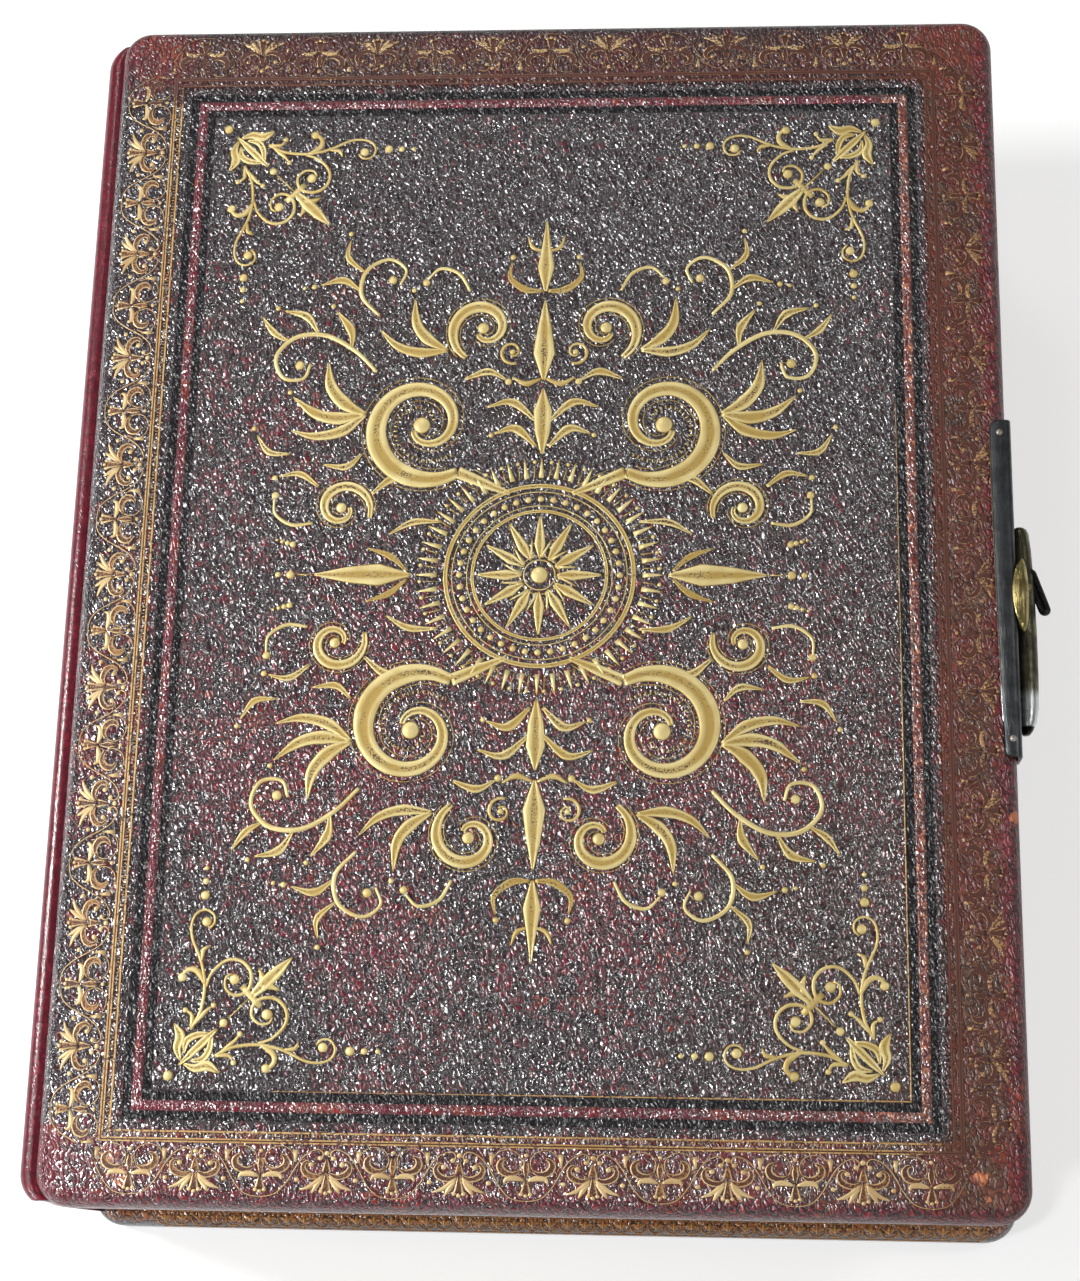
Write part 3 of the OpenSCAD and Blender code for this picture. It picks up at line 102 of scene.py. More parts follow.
class SmoothNoise:
    """Seeded soft noise over a plane, for wear that follows no line."""

    def __init__(self, seed: int) -> None:
        """Draws the lattice of random values."""
        self.lattice = np.random.default_rng(seed).random((256, 256))

    def __call__(self, x: np.ndarray, y: np.ndarray, size: float, octaves: int = 3) -> np.ndarray:
        """Noise from 0 to 1.

        Args:
            x, y: places in millimetres.
            size: width of the largest spots.
            octaves: how many finer layers are added.
        Returns:
            One value for each place.
        """
        total = np.zeros_like(x, dtype=float)
        weight = 0.0
        for octave in range(octaves):
            step = size / 2 ** octave
            u = x / step + 71.3 * (octave + 1)
            v = y / step + 37.7 * (octave + 1)
            i, j = np.floor(u).astype(int), np.floor(v).astype(int)
            fu, fv = smoothstep(u - i, 0, 1), smoothstep(v - j, 0, 1)
            grid = self.lattice
            near = grid[i % 256, j % 256] * (1 - fu) + grid[(i + 1) % 256, j % 256] * fu
            far = grid[i % 256, (j + 1) % 256] * (1 - fu) + grid[(i + 1) % 256, (j + 1) % 256] * fu
            share = 0.5 ** octave
            total += share * (near * (1 - fv) + far * fv)
            weight += share
        return total / weight


# Node graphs


class Graph:
    """A node tree with short calls that fill it."""

    def __init__(self, tree: NodeTree) -> None:
        """Keeps the tree."""
        self.tree = tree

    def add(self, kind: str, inputs: dict | None = None, **settings: object) -> Node:
        """Adds a node.

        Args:
            kind: the node's type name.
            inputs: a value or a socket for each input, by name or number.
            settings: the node's own settings.
        Returns:
            The new node.
        """
        node = self.tree.nodes.new(kind)
        for name, value in settings.items():
            setattr(node, name, value)
        for name, value in (inputs or {}).items():
            self.feed(node.inputs[name], value)
        return node

    def feed(self, socket: NodeSocket, value: object) -> None:
        """Links a socket to an input, or sets the input's value."""
        if isinstance(value, NodeSocket):
            self.tree.links.new(value, socket)
        else:
            socket.default_value = value

    def math(self, operation: str, *values: object, clamp: bool = False) -> NodeSocket:
        """Result of a sum on numbers."""
        node = self.add("ShaderNodeMath", dict(enumerate(values)), operation=operation)
        node.use_clamp = clamp
        return node.outputs[0]

    def times(self, first: object, second: object) -> NodeSocket:
        """One number times another."""
        return self.math("MULTIPLY", first, second)

    def muladd(self, *values: object, clamp: bool = False) -> NodeSocket:
        """The first number times the second, plus the third."""
        return self.math("MULTIPLY_ADD", *values, clamp=clamp)

    def less(self, first: object, second: object, clamp: bool = False) -> NodeSocket:
        """One number less another."""
        return self.math("SUBTRACT", first, second, clamp=clamp)

    def step(self, value: object, low: float, high: float) -> NodeSocket:
        """Soft step from 0 at low to 1 at high, also with low above high."""
        node = self.add("ShaderNodeMapRange", {0: value, 1: low, 2: high}, interpolation_type="SMOOTHSTEP")
        return node.outputs[0]

    def mix(self, share: object, first: object, second: object) -> NodeSocket:
        """Mixes two colours."""
        node = self.add("ShaderNodeMix", data_type="RGBA", clamp_factor=True)
        for socket, value in ((node.inputs[0], share), (node.inputs[6], first), (node.inputs[7], second)):
            self.feed(socket, value)
        return node.outputs[2]

    def vector(self, operation: str, first: object, second: object) -> NodeSocket:
        """Result of a sum on two vectors."""
        return self.add("ShaderNodeVectorMath", {0: first, 1: second}, operation=operation).outputs[0]

    def scaled(self, vector: object, factors: object) -> NodeSocket:
        """A vector times a factor for each axis."""
        return self.vector("MULTIPLY", vector, factors)

    def noise(self, vector: object, size: object, detail: float = 3, rough: float = 0.55) -> NodeSocket:
        """Noise from about 0 to 1, with spots of a size that is a number or a socket."""
        scale = self.math("DIVIDE", 1.0, size) if isinstance(size, NodeSocket) else 1 / size
        inputs = {"Vector": vector, "Scale": scale, "Detail": detail, "Roughness": rough}
        return self.add("ShaderNodeTexNoise", inputs).outputs[0]

    def group(self, tree: NodeTree, inputs: dict) -> Node:
        """Places a shared node group."""
        node = self.tree.nodes.new("ShaderNodeGroup")
        node.node_tree = tree
        for name, value in inputs.items():
            self.feed(node.inputs[name], value)
        return node

    def place(self) -> NodeSocket:
        """The surface's place in millimetres."""
        spot = self.add("ShaderNodeTexCoord").outputs["Object"]
        return self.scaled(spot, (1 / MM, 1 / MM, 1 / MM))

    def apart(self, vector: object) -> bpy.types.bpy_prop_collection:
        """X, Y and Z outputs of a vector."""
        return self.add("ShaderNodeSeparateXYZ", {0: vector}).outputs

    def attribute(self, name: str) -> NodeSocket:
        """A number that the mesh carries at each point."""
        return self.add("ShaderNodeAttribute", attribute_name=name).outputs["Fac"]


class SharedEffects:
    """Shader node groups that more than one finish uses, each built once."""

    def __init__(self) -> None:
        """Builds every group."""
        self.grain = self._leather_grain()
        self.breaks = self._gilt_breaks()
        self.tarnish = self._tarnish()
        self.fibre = self._fibre()
        self.rub = self._rub_wear()

    @staticmethod
    def _start(name: str, inputs: dict, outputs: dict) -> tuple:
        """Makes an empty group.

        Args:
            name: the group's name.
            inputs: socket type and starting value for each input.
            outputs: socket type for each output.
        Returns:
            The graph, the inputs' sockets and the output node.
        """
        tree = bpy.data.node_groups.new(name, "ShaderNodeTree")
        for label, (kind, value) in inputs.items():
            socket = tree.interface.new_socket(name=label, in_out="INPUT", socket_type=kind)
            if value is not None:
                socket.default_value = value
        for label, kind in outputs.items():
            tree.interface.new_socket(name=label, in_out="OUTPUT", socket_type=kind)
        start = tree.nodes.new("NodeGroupInput")
        end = tree.nodes.new("NodeGroupOutput")
        return Graph(tree), start.outputs, end

    def _leather_grain(self) -> NodeTree:
        """Pebbles of tanned goatskin, drawn out along one direction."""
        graph, given, end = self._start("leather_grain", {
            "Vector": (VECTOR, None), "Cell": (FLOAT, 1.3),
            "Stretch": (FLOAT, 1.6), "Turn": (FLOAT, -0.8)},
            {"Height": FLOAT, "CreaseShade": FLOAT, "Tone": FLOAT})
        turned = graph.add("ShaderNodeVectorRotate", {"Vector": given["Vector"], "Angle": given["Turn"]},
                           rotation_type="Z_AXIS").outputs[0]
        wander = graph.add("ShaderNodeTexNoise", {"Vector": turned, "Scale": 0.35, "Detail": 2.0}).outputs[1]
        wander = graph.vector("SUBTRACT", wander, (0.5, 0.5, 0.5))
        wander = graph.scaled(wander, (2.2, 2.2, 2.2))
        moved = graph.vector("ADD", turned, wander)
        across = graph.math("DIVIDE", 1.0, given["Cell"])
        along = graph.math("DIVIDE", across, given["Stretch"])
        factors = graph.add("ShaderNodeCombineXYZ", {0: along, 1: across, 2: across}).outputs[0]
        cells = graph.scaled(moved, factors)
        edge = graph.add("ShaderNodeTexVoronoi", {"Vector": cells, "Scale": 1.0, "Randomness": 0.95},
                         feature="DISTANCE_TO_EDGE").outputs["Distance"]
        cell = graph.add("ShaderNodeTexVoronoi", {"Vector": cells, "Scale": 1.0, "Randomness": 0.95})
        slack = graph.less(1.0, graph.times(edge, 2.1), clamp=True)
        height = graph.less(1.0, graph.times(slack, slack))
        tone = graph.apart(cell.outputs["Color"])[0]
        height = graph.times(height, graph.muladd(tone, 0.5, 0.75))
        fine = graph.noise(cells, 0.28, 2)
        ridge = graph.noise(graph.scaled(moved, (0.2, 0.8, 0.8)), 1.0, 1)
        height = graph.muladd(ridge, 2.2, height)
        graph.feed(end.inputs["Height"], graph.muladd(fine, 0.05, height))
        # Mask of the creases between pebbles, used only for painted shade.
        graph.feed(end.inputs["CreaseShade"], graph.step(edge, 0.22, 0.02))
        graph.feed(end.inputs["Tone"], tone)
        return graph.tree

    def _gilt_breaks(self) -> NodeTree:
        """Where gold leaf has worn off: 1 is bare, and Fade moves from specks to bare leather."""
        graph, given, end = self._start("gilt_breaks", {
            "Vector": (VECTOR, None), "Speck": (FLOAT, 0.5),
            "Fade": (FLOAT, 0.2)}, {"Bare": FLOAT, "Dull": FLOAT})
        speck = graph.noise(given["Vector"], given["Speck"], 3, 0.65)
        patch = graph.noise(given["Vector"], 9.0, 3)
        level = graph.muladd(patch, 0.35, graph.times(speck, 0.65))
        bar = graph.muladd(given["Fade"], 0.42, 0.30)
        gap = graph.less(bar, level)
        graph.feed(end.inputs["Bare"], graph.step(gap, -0.035, 0.035))
        graph.feed(end.inputs["Dull"], patch)
        return graph.tree

    def _tarnish(self) -> NodeTree:
        """Patches and fine scratches on metal."""
        graph, given, end = self._start("tarnish", {
            "Vector": (VECTOR, None), "Patch": (FLOAT, 6.0)},
            {"Patches": FLOAT, "Scratches": FLOAT})
        patches = graph.noise(given["Vector"], given["Patch"], 5, 0.62)
        drawn = graph.scaled(given["Vector"], (3.5, 0.25, 0.9))
        graph.feed(end.inputs["Patches"], graph.step(patches, 0.36, 0.66))
        graph.feed(end.inputs["Scratches"], graph.step(graph.noise(drawn, 1.0, 3), 0.5, 0.72))
        return graph.tree

    def _fibre(self) -> NodeTree:
        """Long fine lines of wood or pressed board."""
        graph, given, end = self._start("fibre", {
            "Vector": (VECTOR, None), "Along": (FLOAT, 30.0),
            "Across": (FLOAT, 0.8)}, {"Lines": FLOAT, "Clouds": FLOAT})
        axes = graph.apart(given["Vector"])
        drawn = graph.add("ShaderNodeCombineXYZ", {
            0: graph.math("DIVIDE", axes[0], given["Along"]),
            1: graph.math("DIVIDE", axes[1], given["Across"]),
            2: graph.math("DIVIDE", axes[2], given["Across"])}).outputs[0]
        graph.feed(end.inputs["Lines"], graph.noise(drawn, 1.0, 4))
        graph.feed(end.inputs["Clouds"], graph.noise(given["Vector"], 25.0, 3))
        return graph.tree

    def _rub_wear(self) -> NodeTree:
        """Rubbing that eats a soft mask into broken spots."""
        graph, given, end = self._start("rub_wear", {
            "Vector": (VECTOR, None), "Amount": (FLOAT, 0.5),
            "Spot": (FLOAT, 2.5)}, {"Rubbed": FLOAT})
        spots = graph.noise(given["Vector"], given["Spot"], 5, 0.68)
        level = graph.math("ADD", spots, graph.less(given["Amount"], 0.5))
        graph.feed(end.inputs["Rubbed"], graph.step(level, 0.5, 0.68))
        return graph.tree


class Finish:
    """What every finish shares: a material with a Principled shader and a bump."""

    @staticmethod
    def start(name: str) -> tuple:
        """Makes an empty material.

        Args:
            name: the material's name.
        Returns:
            The material, its graph and its shader.
        """
        material = bpy.data.materials.new(name)
        material.use_nodes = True
        material.node_tree.nodes.clear()
        graph = Graph(material.node_tree)
        shader = graph.add("ShaderNodeBsdfPrincipled")
        graph.add("ShaderNodeOutputMaterial", {"Surface": shader.outputs[0]})
        return material, graph, shader

    @staticmethod
    def bump(graph: Graph, shader: Node, height: object, depth: float) -> None:
        """Raises the surface by a height from 0 to 1 times a depth in millimetres."""
        node = graph.add("ShaderNodeBump", {"Strength": 1.0, "Distance": depth * MM, "Height": height})
        graph.feed(shader.inputs["Normal"], node.outputs[0])


@dataclass(frozen=True)
class Leather(Finish):
    """Pebble-grained leather with painted shade in its creases, rubbed where hands reach it."""

    name: str
    dark: tuple = srgb(54, 31, 38)
    flush: tuple = srgb(126, 24, 44)
    ember: tuple = srgb(144, 48, 34)
    warm: tuple = srgb(128, 54, 38)
    tan: tuple = srgb(102, 66, 46)
    rubbed: tuple = srgb(212, 128, 84)
    # Near-black colour of the painted shade in the creases between pebbles.
    crease_shade: tuple = srgb(9, 5, 7)
    cell: float = 1.12
    stretch: float = 2.0
    turn: float = 1.215
    depth: float = 0.32
    roughness: float = 0.26
    gloss: float = 0.5
    glaze: float = 0.9
    glaze_roughness: float = 0.2
    glaze_ior: float = 2.0
    flushed: float = 0.5
    marked: bool = False
    ledge: bool = False
    ledge_out: tuple = (149.0, 150.0)
    ledge_fore: tuple = (114.0, 115.0)
    ledge_up: tuple = (9.0, 10.6)

    def make(self, effects: SharedEffects) -> Material:
        """Builds the material."""
        material, graph, shader = self.start(self.name)
        spot = graph.place()
        grain = graph.group(effects.grain, {"Vector": spot, "Cell": self.cell, "Stretch": self.stretch,
                                            "Turn": self.turn}).outputs
        broad = graph.noise(spot, 26.0, 4, 0.6)
        mottle = graph.noise(spot, 4.0, 5, 0.66)
        tone = graph.muladd(mottle, 0.55, graph.times(broad, 0.25))
        tone = graph.muladd(grain["Tone"], 0.17, tone)
        if self.marked:
            tone = graph.muladd(graph.attribute("flush"), 0.3, tone)
        low = 0.71 - 0.2 * self.flushed
        flushed = graph.step(tone, low, low + 0.07)
        hot = graph.step(graph.muladd(grain["Tone"], -0.12, graph.noise(spot, 9.0, 3)), 0.49, 0.56)
        colour = graph.mix(flushed, self.dark, graph.mix(hot, self.flush, self.ember))
        if self.marked:
            browns = graph.mix(graph.step(graph.noise(spot, 11.0, 4, 0.6), 0.4, 0.62), self.warm, self.tan)
            colour = graph.mix(graph.attribute("warm"), colour, browns)
            smooth = graph.attribute("smooth")
            amount = graph.attribute("rub")
            dull = graph.attribute("dull")
        else:
            smooth = 0.0
            dull = 0.0
            amount = graph.times(broad, 0.45)
        if self.ledge:
            axes = graph.apart(spot)
            rim = graph.math("MAXIMUM", graph.step(graph.math("ABSOLUTE", axes[1]), *self.ledge_out),
                             graph.step(axes[0], *self.ledge_fore))
            rim = graph.times(rim, graph.step(axes[2], *self.ledge_up))
            colour = graph.mix(rim, colour, graph.mix(mottle, self.warm, self.rubbed))
        # Random cells darken toward the same dark colour.
        colour = graph.mix(graph.times(grain["Tone"], 0.4), colour, self.crease_shade)
        # Painted shade: the creases between pebbles are darkened, less where the leather is pressed smooth.
        shaded_creases = graph.times(grain["CreaseShade"], graph.less(0.95, smooth, clamp=True))
        colour = graph.mix(shaded_creases, colour, self.crease_shade)
        rubbed = graph.group(effects.rub, {"Vector": spot, "Amount": amount, "Spot": 1.7}).outputs[0]
        colour = graph.mix(graph.times(rubbed, 0.85), colour, self.rubbed)
        graph.feed(shader.inputs["Base Color"], colour)
        rough = graph.muladd(mottle, 0.2, self.roughness - 0.08)
        rough = graph.muladd(rubbed, 0.16, rough)
        rough = graph.muladd(dull, 0.16, rough)
        graph.feed(shader.inputs["Roughness"], rough)
        relief = graph.times(grain["Height"], graph.less(1.0, graph.times(smooth, 0.8)))
        self.bump(graph, shader, relief, self.depth)
        shine = graph.muladd(dull, -0.92 * self.glaze, self.glaze, clamp=True)
        graph.feed(shader.inputs["Coat Weight"], shine)
        graph.feed(shader.inputs["Coat Normal"], shader.inputs["Normal"].links[0].from_socket)
        for socket, value in (("Specular IOR Level", self.gloss), ("Coat Roughness", self.glaze_roughness),
                              ("Coat IOR", self.glaze_ior)):
            shader.inputs[socket].default_value = value
        return material


@dataclass(frozen=True)
class Gilt(Finish):
    """Gold leaf pressed into leather, broken and dulled by handling.

    A finish with lift shading paints light by how near each point is to a ridge top: ridge tops get a painted
    highlight, sides get painted shade.
    A grooved finish has a dark stripe along the middle of the wide gilt line.
    """

    name: str
    gold: tuple = srgb(232, 214, 152)
    # Darker gold, for dull patches and for the painted shade away from ridge tops.
    dull_and_shade_gold: tuple = srgb(184, 154, 84)
    bare: tuple = srgb(60, 36, 30)
    speck: float = 0.45
    fade: float = 0.12
    by_place: bool = True
    lift_shaded: bool = False
    grooved: bool = False
    roughness: float = 0.42
    metallic: float = 0.35
    groove: tuple = srgb(62, 34, 26)
    # Colour of the painted shade on the low sides of each ridge.
    side: tuple = srgb(58, 32, 22)
    fore_from: tuple = (88.0, 101.0)
    head_from: tuple = (127.0, 137.0)
    tail_from: tuple = (-128.0, -138.0)

    def make(self, effects: SharedEffects) -> Material:
        """Builds the material, whose fading grows toward the fore-edge, the head and the tail."""
        material, graph, shader = self.start(self.name)
        spot = graph.place()
        fade: object = self.fade
        if self.by_place:
            axes = graph.apart(spot)
            fore = graph.times(graph.step(axes[0], *self.fore_from), 0.45)
            head = graph.times(graph.step(axes[1], *self.head_from), 0.42)
            tail = graph.times(graph.step(axes[1], *self.tail_from), 0.05)
            gone = graph.times(graph.step(axes[0], *self.fore_from), 0.7)
            fade = graph.math("MAXIMUM", fore, graph.math("MAXIMUM", head, tail))
            fade = graph.math("ADD", fade, self.fade)
        # Painted highlight: the mask is 1 on ridge tops, which also lose less gold than the rest.
        crest: object = graph.step(graph.attribute("lift"), 0.55, 0.92) if self.lift_shaded else 0.5
        fade = graph.muladd(graph.less(crest, 0.5), -0.5, fade)
        worn = graph.group(effects.breaks, {"Vector": spot, "Speck": self.speck, "Fade": fade}).outputs
        dull = graph.times(graph.step(worn["Dull"], 0.35, 0.7), 0.5)
        # Painted shade: away from ridge tops the gold turns darker.
        dull = graph.muladd(graph.less(1.0, crest), 0.75, dull, clamp=True)
        colour = graph.mix(dull, self.gold, self.dull_and_shade_gold)
        if self.by_place:
            colour = graph.mix(gone, colour, self.dull_and_shade_gold)
        colour = graph.mix(worn["Bare"], colour, self.bare)
        if self.grooved:
            out = graph.math("MAXIMUM", *(graph.less(graph.math("ABSOLUTE", axes[i]), FRAME_HALF[i])
                                          for i in (0, 1)))
            off = graph.math("ABSOLUTE", graph.math("ADD", out, 0.5))
            colour = graph.mix(graph.step(off, 0.2, 0.1), colour, self.groove)
        if self.lift_shaded:
            # Painted shade on the low sides of each ridge.
            colour = graph.mix(graph.step(graph.attribute("lift"), 0.3, 0.0), colour, self.side)
        graph.feed(shader.inputs["Base Color"], colour)
        bright = graph.less(1.0, worn["Bare"])
        graph.feed(shader.inputs["Metallic"], graph.times(bright, self.metallic))
        graph.feed(shader.inputs["Roughness"], graph.muladd(worn["Bare"], 0.1, self.roughness))
        self.bump(graph, shader, graph.noise(spot, 0.7, 3), 0.05)
        return material


@dataclass(frozen=True)
class Metal(Finish):
    """Metal with a patina that is thinner where it is handled."""

    name: str
    bright: tuple
    patina: tuple
    metallic: float = 0.95
    roughness: float = 0.32
    patch: float = 5.0
    aged: float = 0.6
    worn: tuple | None = None
    worn_from: float = 0.0
    foot: float = 0.0
    foot_tone: tuple = srgb(18, 17, 17)

    def make(self, effects: SharedEffects) -> Material:
        """Builds the material, worn bright toward the tail and black at its foot where that is asked."""
        material, graph, shader = self.start(self.name)
        spot = graph.place()
        marks = graph.group(effects.tarnish, {"Vector": spot, "Patch": self.patch}).outputs
        aged = graph.muladd(marks["Patches"], self.aged, 1 - self.aged)
        aged = graph.less(aged, graph.times(marks["Scratches"], 0.25), clamp=True)
        colour = graph.mix(aged, self.bright, self.patina)
        if self.worn:
            along = graph.apart(spot)[1]
            colour = graph.mix(graph.step(along, self.worn_from, self.worn_from - 3), colour, self.worn)
            colour = graph.mix(graph.step(along, self.foot, self.foot - 0.5), colour, self.foot_tone)
        graph.feed(shader.inputs["Base Color"], colour)
        graph.feed(shader.inputs["Metallic"], graph.muladd(aged, -0.15, self.metallic))
        graph.feed(shader.inputs["Roughness"], graph.muladd(aged, 0.2, self.roughness - 0.08))
        self.bump(graph, shader, graph.math("ADD", marks["Patches"], marks["Scratches"]), 0.02)
        return material


@dataclass(frozen=True)
class Fibrous(Finish):
    """Wood, card and paper."""

    name: str
    light: tuple
    dark: tuple
    along: float = 40.0
    across: float = 1.0
    roughness: float = 0.8
    depth: float = 0.05

    def make(self, effects: SharedEffects) -> Material:
        """Builds the material."""
        material, graph, shader = self.start(self.name)
        spot = graph.place()
        lines = graph.group(effects.fibre,
                            {"Vector": spot, "Along": self.along, "Across": self.across}).outputs
        share = graph.muladd(lines["Clouds"], 0.45, graph.times(lines["Lines"], 0.6))
        graph.feed(shader.inputs["Base Color"],
                   graph.mix(graph.step(share, 0.35, 0.7), self.light, self.dark))
        graph.feed(shader.inputs["Roughness"], graph.muladd(lines["Lines"], 0.15, self.roughness - 0.1))
        self.bump(graph, shader, lines["Lines"], self.depth)
        return material


@dataclass(frozen=True)
class PageEdges(Finish):
    """Gilt edges of card leaves, with fine lines between them, and plain card on top."""

    name: str
    gold: tuple = srgb(206, 172, 100)
    worn: tuple = srgb(156, 116, 64)
    card: tuple = srgb(226, 216, 192)
    card_shade: tuple = srgb(206, 190, 160)
    gap_tone: tuple = srgb(70, 46, 26)
    ply: float = 0.6
    leaf: float = 2.9

    def make(self, effects: SharedEffects) -> Material:
        """Builds the material."""
        material, graph, shader = self.start(self.name)
        spot = graph.place()
        up = graph.apart(graph.add("ShaderNodeNewGeometry").outputs["True Normal"])[2]
        side = graph.step(graph.math("ABSOLUTE", up), 0.7, 0.4)
        drawn = graph.scaled(spot, (0.006, 0.006, 1 / self.ply))
        lines = graph.noise(drawn, 1.0, 3)
        leaf = graph.math("FRACT", graph.math("DIVIDE", graph.apart(spot)[2], self.leaf))
        gap = graph.step(graph.math("ABSOLUTE", graph.less(leaf, 0.5)), 0.4, 0.5)
        worn = graph.group(effects.breaks, {"Vector": spot, "Speck": 1.2, "Fade": 0.3}).outputs
        gold = graph.mix(graph.step(lines, 0.3, 0.6), self.worn, self.gold)
        gold = graph.mix(graph.times(worn["Bare"], 0.4), gold, self.worn)
        gold = graph.mix(graph.times(gap, 0.7), gold, self.gap_tone)
        card = graph.mix(graph.step(graph.noise(spot, 30.0, 4), 0.4, 0.7), self.card, self.card_shade)
        graph.feed(shader.inputs["Base Color"], graph.mix(side, card, gold))
        graph.feed(shader.inputs["Metallic"], graph.times(side, 0.45))
        graph.feed(shader.inputs["Roughness"], graph.muladd(side, -0.35, 0.78))
        relief = graph.times(graph.less(graph.times(lines, 0.4), gap), side)
        self.bump(graph, shader, relief, 0.15)
        return material


class Stuff(Enum):
    """The finishes by the thing that wears them."""

    COVER = "cover_leather"
    REAR = "rear_leather_finish"
    JOINT = "joint_leather"
    BAND = "black_band"
    GOLD_LINE = "gold_line"
    GOLD_TOOL = "gold_tool"
    GOLD_ROLL = "gold_roll"
    GOLD_REAR = "gold_rear"
    BOARD = "greyboard"
    LINING = "lining_paper"
    PAGES = "page_edges"
    GILT_PAPER = "gilt_paper"
    DEAL = "deal"
    PLATE = "clasp_metal"
    STRAP = "strap_metal"
    BRASS = "clasp_brass"
    RIVET = "rivet_metal"
    WIRE = "black_wire"
    MOVEMENT = "movement_brass"
    STEEL = "movement_steel"
    IRON = "bed_iron"


class Workshop:
    """All materials, and the dressing of CAD nodes with them."""

    def __init__(self) -> None:
        """Builds the groups and the finishes."""
        effects = SharedEffects()
        finishes = [
            Leather(Stuff.COVER.value, marked=True),
            Leather(Stuff.REAR.value, warm=srgb(131, 85, 62), rubbed=srgb(221, 139, 86), flushed=0.7,
                    depth=0.2,
                    glaze=0.4, ledge=True),
            Leather(Stuff.JOINT.value, dark=srgb(116, 19, 40), flush=srgb(150, 28, 54),
                    ember=srgb(150, 28, 54),
                    crease_shade=srgb(80, 12, 26), rubbed=srgb(170, 60, 62), depth=0.03, roughness=0.3, flushed=1.0,
                    glaze=0.2),
            Leather(Stuff.BAND.value, dark=srgb(27, 21, 26), flush=srgb(38, 20, 26), ember=srgb(42, 24, 24),
                    crease_shade=srgb(8, 6, 8), rubbed=srgb(44, 28, 30), depth=0.3, roughness=0.3, flushed=0.3,
                    gloss=0.35, glaze=0.3),
            Gilt(Stuff.GOLD_LINE.value, gold=srgb(226, 192, 128), dull_and_shade_gold=srgb(176, 132, 80),
                 bare=srgb(96, 54, 38),
                 speck=0.6, fade=0.34, grooved=True),
            Gilt(Stuff.GOLD_TOOL.value, fade=0.1, by_place=False, lift_shaded=True),
            Gilt(Stuff.GOLD_ROLL.value, gold=srgb(220, 192, 140), dull_and_shade_gold=srgb(160, 118, 74),
                 bare=srgb(76, 38, 28),
                 fade=0.3, speck=0.5, lift_shaded=True),
            Gilt(Stuff.GOLD_REAR.value, gold=srgb(212, 170, 112), dull_and_shade_gold=srgb(164, 116, 76),
                 bare=srgb(126, 78, 56),
                 fade=0.35, by_place=False, speck=0.8),
            Fibrous(Stuff.BOARD.value, srgb(178, 158, 128), srgb(140, 120, 94), across=1.4),
            Fibrous(Stuff.LINING.value, srgb(232, 222, 198), srgb(206, 192, 160), along=6.0, across=6.0),
            PageEdges(Stuff.PAGES.value),
            PageEdges(Stuff.GILT_PAPER.value, ply=1.1, card=srgb(186, 148, 98)),
            Fibrous(Stuff.DEAL.value, srgb(206, 166, 108), srgb(158, 112, 64), across=1.8, roughness=0.7),
            Metal(Stuff.PLATE.value, srgb(86, 88, 90), srgb(40, 41, 43), roughness=0.32, metallic=0.8),
            Metal(Stuff.STRAP.value, srgb(126, 122, 98), srgb(58, 55, 42), roughness=0.28, metallic=0.9,
                  worn=srgb(196, 200, 198), worn_from=-27.0, foot=-36.6),
            Metal(Stuff.BRASS.value, srgb(198, 182, 122), srgb(104, 92, 54), roughness=0.26, aged=0.5,
                  patch=3.0),
            Metal(Stuff.RIVET.value, srgb(214, 210, 200), srgb(138, 130, 116), aged=0.5),
            Metal(Stuff.WIRE.value, srgb(40, 38, 37), srgb(12, 11, 11), metallic=0.3, roughness=0.2,
                  aged=0.8),
            Metal(Stuff.MOVEMENT.value, srgb(222, 190, 112), srgb(168, 132, 66), roughness=0.28, patch=9.0),
            Metal(Stuff.STEEL.value, srgb(190, 190, 192), srgb(110, 108, 106), roughness=0.26, patch=9.0),
            Metal(Stuff.IRON.value, srgb(70, 70, 70), srgb(38, 38, 40), metallic=0.5, roughness=0.5),
        ]
        self.materials = {Stuff(finish.name): finish.make(effects) for finish in finishes}

    def __getitem__(self, stuff: Stuff) -> Material:
        """The material of a finish."""
        return self.materials[stuff]

    def dress(self, stuff: Stuff, *nodes: str) -> None:
        """Gives CAD nodes a finish."""
        for node in nodes:
            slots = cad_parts[node].data.materials
            slots.clear()
            slots.append(self[stuff])


# Meshes


def link_mesh(name: str, points: np.ndarray, faces: list, material: Material,
              smooth: bool = True) -> Object:
    """Makes an object from points in millimetres.

    Args:
        name: the piece's name.
        points: one row for each point.
        faces: point numbers of each face, outward side first.
        material: the piece's finish.
        smooth: whether its faces are shaded smooth.
    Returns:
        The new object, at the origin.
    """
    mesh = bpy.data.meshes.new(name)
    mesh.from_pydata((np.asarray(points) * MM).tolist(), [], faces)
    mesh.materials.append(material)
    if smooth:
        mesh.shade_smooth()
    else:
        mesh.shade_flat()
    mesh.update()
    piece = bpy.data.objects.new(name, mesh)
    bpy.context.scene.collection.objects.link(piece)
    return piece


def skin(rings: list) -> tuple:
    """Closed mesh through rings.

    Args:
        rings: sections with as many points each, in order.
    Returns:
        The points, and the faces with a cap at both ends.
    """
    n, count = len(rings[0]), len(rings)
    faces = [(i * n + j, (i + 1) * n + j, (i + 1) * n + (j + 1) % n, i * n + (j + 1) % n)
             for i in range(count - 1) for j in range(n)]
    faces += [tuple(range(n)), tuple(reversed(range((count - 1) * n, count * n)))]
    return np.vstack(rings), faces


